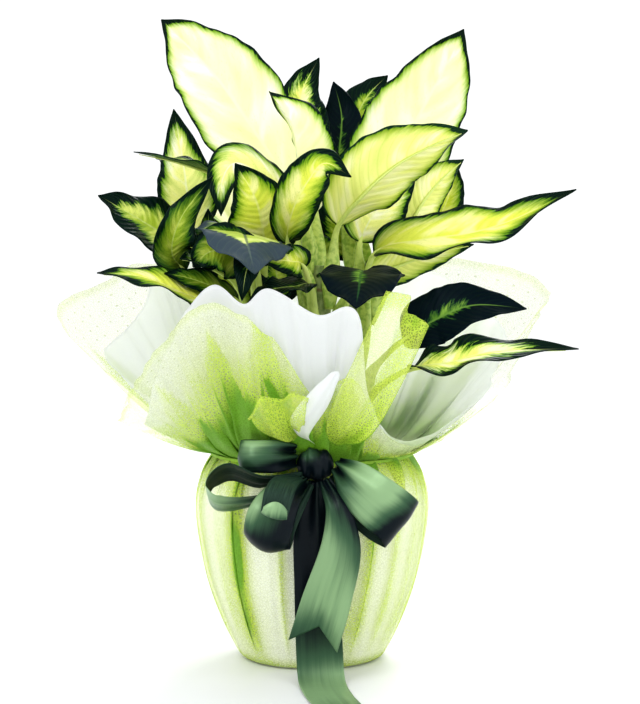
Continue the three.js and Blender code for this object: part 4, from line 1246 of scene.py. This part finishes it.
def make_strip(name, stations, materials, slot, *replaced, width, crease, shade, valley_shade, trim=None,
               thickness=RIBBON, held="gathered", hem=0, tied_by="ribbon_knot"):
    """A strip of ribbon, netting or paper through its stations. crease(v, u) lifts it between its edges,
    and valley_shade paints shade into the valleys between its creases. trim(v) is what is cut off its end."""
    frames = [strip_frame(stations, i / STRIP_ROWS) for i in range(STRIP_ROWS + 1)]

    def place(a, b):
        v = 2 * a - 1
        middle, along, across, out, size, proud = frames[round(b * STRIP_ROWS)][:6]
        back = trim(v) * smooth(0.7, 1.0, b) if trim else 0
        lift = proud * (1 - v * v) + crease(v, b)
        return (middle + across * (v * size / 2) + out * lift - along * back) * MM

    bm = bmesh.new()
    add_sheet(bm, STRIP_COLUMNS, STRIP_ROWS, place)
    shades = bm.verts.layers.float.new(shade)
    for vert, a, b in sheet_points(bm):
        v = 2 * a - 1
        tone, lean = frames[round(b * STRIP_ROWS)][6:]
        edge = hem * smooth(0.9, 0.97, max(abs(v), b))
        # painted shade: the valleys between the creases are darker
        vert[shades] = min(max(tone + lean * v - valley_shade * crease(v, b) + edge, 0), 1)
    piece = add_piece(name, bm, materials, slot, *replaced)
    thicken(piece, thickness, underside=len(materials) > 1)
    strip_length(stations) * MM
    return piece


def swallowtail(v):
    return SWALLOWTAIL * (1 - abs(v))


def rounded_end(v):
    return 5 * v * v


def net_corners(v):
    return 14 * smooth(-0.12, 0.04, v) + 5 * abs(v - 0.4)


def ruffle_hem(v):
    return 13 * v * v + 4 * math.sin(6 * v + 1)


NET_HEMS = {"net_fold": net_corners, "net_ruffle": ruffle_hem}


def ribbon_gathers(depth, looped, seed):
    """Soft gathers that run out of the knot and fade along the strip."""
    def crease(v, u):
        near = bell(u / 0.13) + (bell((1 - u) / 0.13) if looped else 0)
        far = bell(u / 0.45) * 0.22
        return depth * (near + far) * math.sin(6.5 * v + seed) * (1 - v * v * 0.3)
    return crease


def net_creases(depth, count, seed):
    def crease(v, u):
        wave = math.sin(count * v + seed + u * 1.5)
        return (depth * wave + 0.35 * depth * math.sin(2.7 * count * v + u * 4)) * smooth(0, 0.25, u)
    return crease


def make_satin_material():
    """Satin ribbon: fine lengthwise threads, with painted light and shade: sage in the light and navy in
    its folds.
    """
    material, tree, shader = new_material("satin")
    parts = uv_parts(tree)
    streak = cloud(tree, stretched(tree, parts, (70.0, 3.0)), 1.0, 4.0, 0.65)
    broad = cloud(tree, stretched(tree, parts, (7.0, 2.0)), 1.0, 2.0)
    weft = cloud(tree, stretched(tree, parts, (4.0, 160.0)), 1.0, 2.0)
    # painted sheen: lengthwise streaks and broad patches lighten and darken the satin
    loose = plus(tree, times(tree, streak, 0.16), times(tree, broad, 0.40))
    tone = plus(tree, carried(tree, "shade"), minus(tree, loose, 0.28))
    color = blend(tree, ramp(tree, tone, 0.0, 0.55), (0.27, 0.42, 0.22), (0.05, 0.115, 0.06))
    color = blend(tree, ramp(tree, tone, 0.45, 0.95), color, (0.002, 0.007, 0.011))
    feed(
        tree, shader,
        Base_Color=color,
        Metallic=0.15,
        Roughness=ramp(tree, weft, 0.3, 0.7, 0.30, 0.40),
        Specular_IOR_Level=0.2,
        Normal=bump(tree, streak, 0.12, 0.5),
    )
    return material


def make_satin_back_material():
    material, tree, shader = new_material("shaded_satin_back")
    streak = cloud(tree, stretched(tree, uv_parts(tree), (90.0, 5.0)), 1.0, 3.0)
    # the back of the satin is matte, and its near-black green is painted shade, as inside the loops
    color = blend(tree, ramp(tree, streak, 0.3, 0.7), (0.006, 0.018, 0.014), (0.03, 0.07, 0.045))
    relief = bump(tree, streak, 0.1, 0.5)
    feed(tree, shader, Base_Color=color, Roughness=0.55, Specular_IOR_Level=0.2, Normal=relief)
    return material


def make_knot(material):
    """The knot: a turn of ribbon drawn tight over the neck, its pleats running up and over."""
    centre, half = KNOT
    bm = bmesh.new()
    bmesh.ops.create_uvsphere(bm, u_segments=96, v_segments=48, radius=1)
    bm.loops.layers.uv.verify()
    shades = bm.verts.layers.float.new("shade")
    for vert in bm.verts:
        x, y, z = vert.co
        round_it = 1 - x * x
        pleat = 1 + 0.10 * math.cos(9 * x + 1.8 * z) * round_it + 0.03 * math.cos(23 * x - z) * round_it
        # painted shade: the knot is near-black navy, with a painted highlight at its upper left
        vert[shades] = 0.95 - 0.5 * bell((x + 0.3) / 0.25) * bell((z - 0.75) / 0.3)
        blunted = math.copysign(abs(x) ** 0.75, x)
        place = (
            centre[0] + blunted * half[0],
            centre[1] + y * half[1] * pleat,
            centre[2] + z * half[2] * pleat,
        )
        vert.co = Vector(place) * MM
    for face in bm.faces:
        face.smooth = True
    add_piece("knot", bm, [material], "ribbon", "ribbon_knot")


# ---- pot, soil, canes and floor ---------------------------------------------------------------
def make_cane_material():
    material, tree, shader = new_material("cane")
    place = object_place(tree)
    rings_at = join(tree, 0.0, 0.0, times(tree, split(tree, place)[2], 160.0))
    ring = cloud(tree, rings_at, 1.0, 2.0)
    mottle = cloud(tree, place, 220.0, 3.0)
    color = blend(tree, ramp(tree, mottle, 0.35, 0.65), (0.20, 0.28, 0.09), (0.36, 0.42, 0.18))
    color = blend(tree, ramp(tree, ring, 0.56, 0.62), color, (0.26, 0.22, 0.10))
    feed(tree, shader, Base_Color=color, Roughness=0.6, Normal=bump(tree, ring, 0.6))
    return material


def make_soil_material():
    material, tree, shader = new_material("soil")
    place = object_place(tree)
    crumb = put(tree, "ShaderNodeTexVoronoi", {"Vector": place, "Scale": 260.0}).outputs["Distance"]
    fine = cloud(tree, place, 700.0, 4.0, 0.7)
    height = plus(tree, crumb, times(tree, fine, 0.6))
    color = blend(tree, fine, (0.012, 0.008, 0.005), (0.085, 0.055, 0.034))
    feed(tree, shader, Base_Color=color, Roughness=0.95, Normal=bump(tree, height, 2.5))
    return material


def make_pot_material():
    material, tree, shader = new_material("pot")
    place = object_place(tree)
    grain = cloud(tree, place, 1400.0, 3.0)
    scuff = cloud(tree, place, 40.0, 4.0)
    color = blend(tree, ramp(tree, scuff, 0.5, 0.75), (0.014, 0.013, 0.012), (0.035, 0.032, 0.03))
    rough = ramp(tree, scuff, 0.3, 0.7, 0.42, 0.6)
    feed(tree, shader, Base_Color=color, Roughness=rough, Normal=bump(tree, grain, 0.2))
    return material


def make_floor_material():
    material, tree, shader = new_material("floor")
    place = object_place(tree)
    tone = cloud(tree, place, 3.0, 2.0)
    away = put(tree, "ShaderNodeVectorMath", {0: place}, operation="LENGTH").outputs["Value"]
    # painted light: the floor is greyer near the pot, where the lamps light it, and near white far off, to
    # fade into the room
    near = blend(tree, tone, (0.80, 0.81, 0.83), (0.84, 0.85, 0.86))
    color = blend(tree, ramp(tree, away, 0.2, 2.5), near, (0.96, 0.965, 0.97))
    feed(tree, shader, Base_Color=color, Roughness=0.5)
    return material


def finish_node(node, material):
    for slot in nodes[node].material_slots:
        slot.material = material


def make_floor():
    bm = bmesh.new()
    bmesh.ops.create_circle(bm, cap_ends=True, segments=96, radius=FLOOR_RADIUS * MM)
    floor = add_object("floor", bm, [make_floor_material()])


# ---- putting it together ----------------------------------------------------------------------
make_camera()
make_studio()
make_floor()

leaf_materials = make_leaf_materials()
stalk_material = make_stalk_material()
for number, (name, leaf) in enumerate(LEAVES.items()):
    make_leaf(name, number, leaf, leaf_materials, stalk_material, f"leaf_{name}")
for number, (name, leaf) in enumerate(YOUNG_LEAVES.items(), len(LEAVES)):
    make_leaf(name, number, leaf, leaf_materials, stalk_material)

paper = make_paper_material()
net = make_net_material()
make_wrap(
    "paper_sheet", "paper", paper, "paper_wrap",
    outside=0.4, netting=False, thickness=PAPER_THICKNESS,
)
make_wrap(
    "net_sheet", "net", net, "net_wrap",
    outside=2.2, netting=True, thickness=NET_THICKNESS,
)

# the length of a name only shifts the creases, so that most strips differ in them
satin = [make_satin_material(), make_satin_back_material()]
make_knot(satin[0])
for name, stations in RIBBON_LOOPS.items():
    make_strip(
        name, stations, satin, "ribbon", f"ribbon_{name}", width=RIBBON_WIDTH,
        crease=ribbon_gathers(1.8, True, len(name)), shade="shade", valley_shade=0.12,
    )
make_strip(
    "loop_inner", INNER_LOOP, satin, "ribbon", width=INNER_WIDTH,
    crease=ribbon_gathers(0.4, False, len("loop_inner")), shade="shade", valley_shade=0.12, trim=rounded_end,
)
for name, stations in RIBBON_TAILS.items():
    make_strip(
        name, stations, satin, "ribbon", f"ribbon_{name}", width=RIBBON_WIDTH, held="hung",
        crease=ribbon_gathers(1.0, False, len(name)), shade="shade", valley_shade=0.12, trim=swallowtail,
    )
for name, stations in NET_FOLDS.items():
    make_strip(
        f"{name}_sheet", stations, [net], "net", name, width=NET_FOLD_WIDTH, thickness=NET_THICKNESS,
        crease=net_creases(3.0, 5, len(name)), shade="gathered", valley_shade=0.035, hem=0.3,
        trim=NET_HEMS[name], tied_by="neck_tie",
    )
make_strip(
    "paper_curl", PAPER_CURL, [paper], "paper", width=CURL_WIDTH, thickness=PAPER_THICKNESS,
    crease=net_creases(0.8, 3, 2), shade="gathered", valley_shade=0, trim=rounded_end, tied_by="neck_tie",
)

finish_node("pot", make_pot_material())
finish_node("soil", make_soil_material())
cane = make_cane_material()
for side in CANES:
    finish_node(f"cane_{side}", cane)
finish_node("neck_tie", make_cord_material())

bpy.context.view_layer.update()
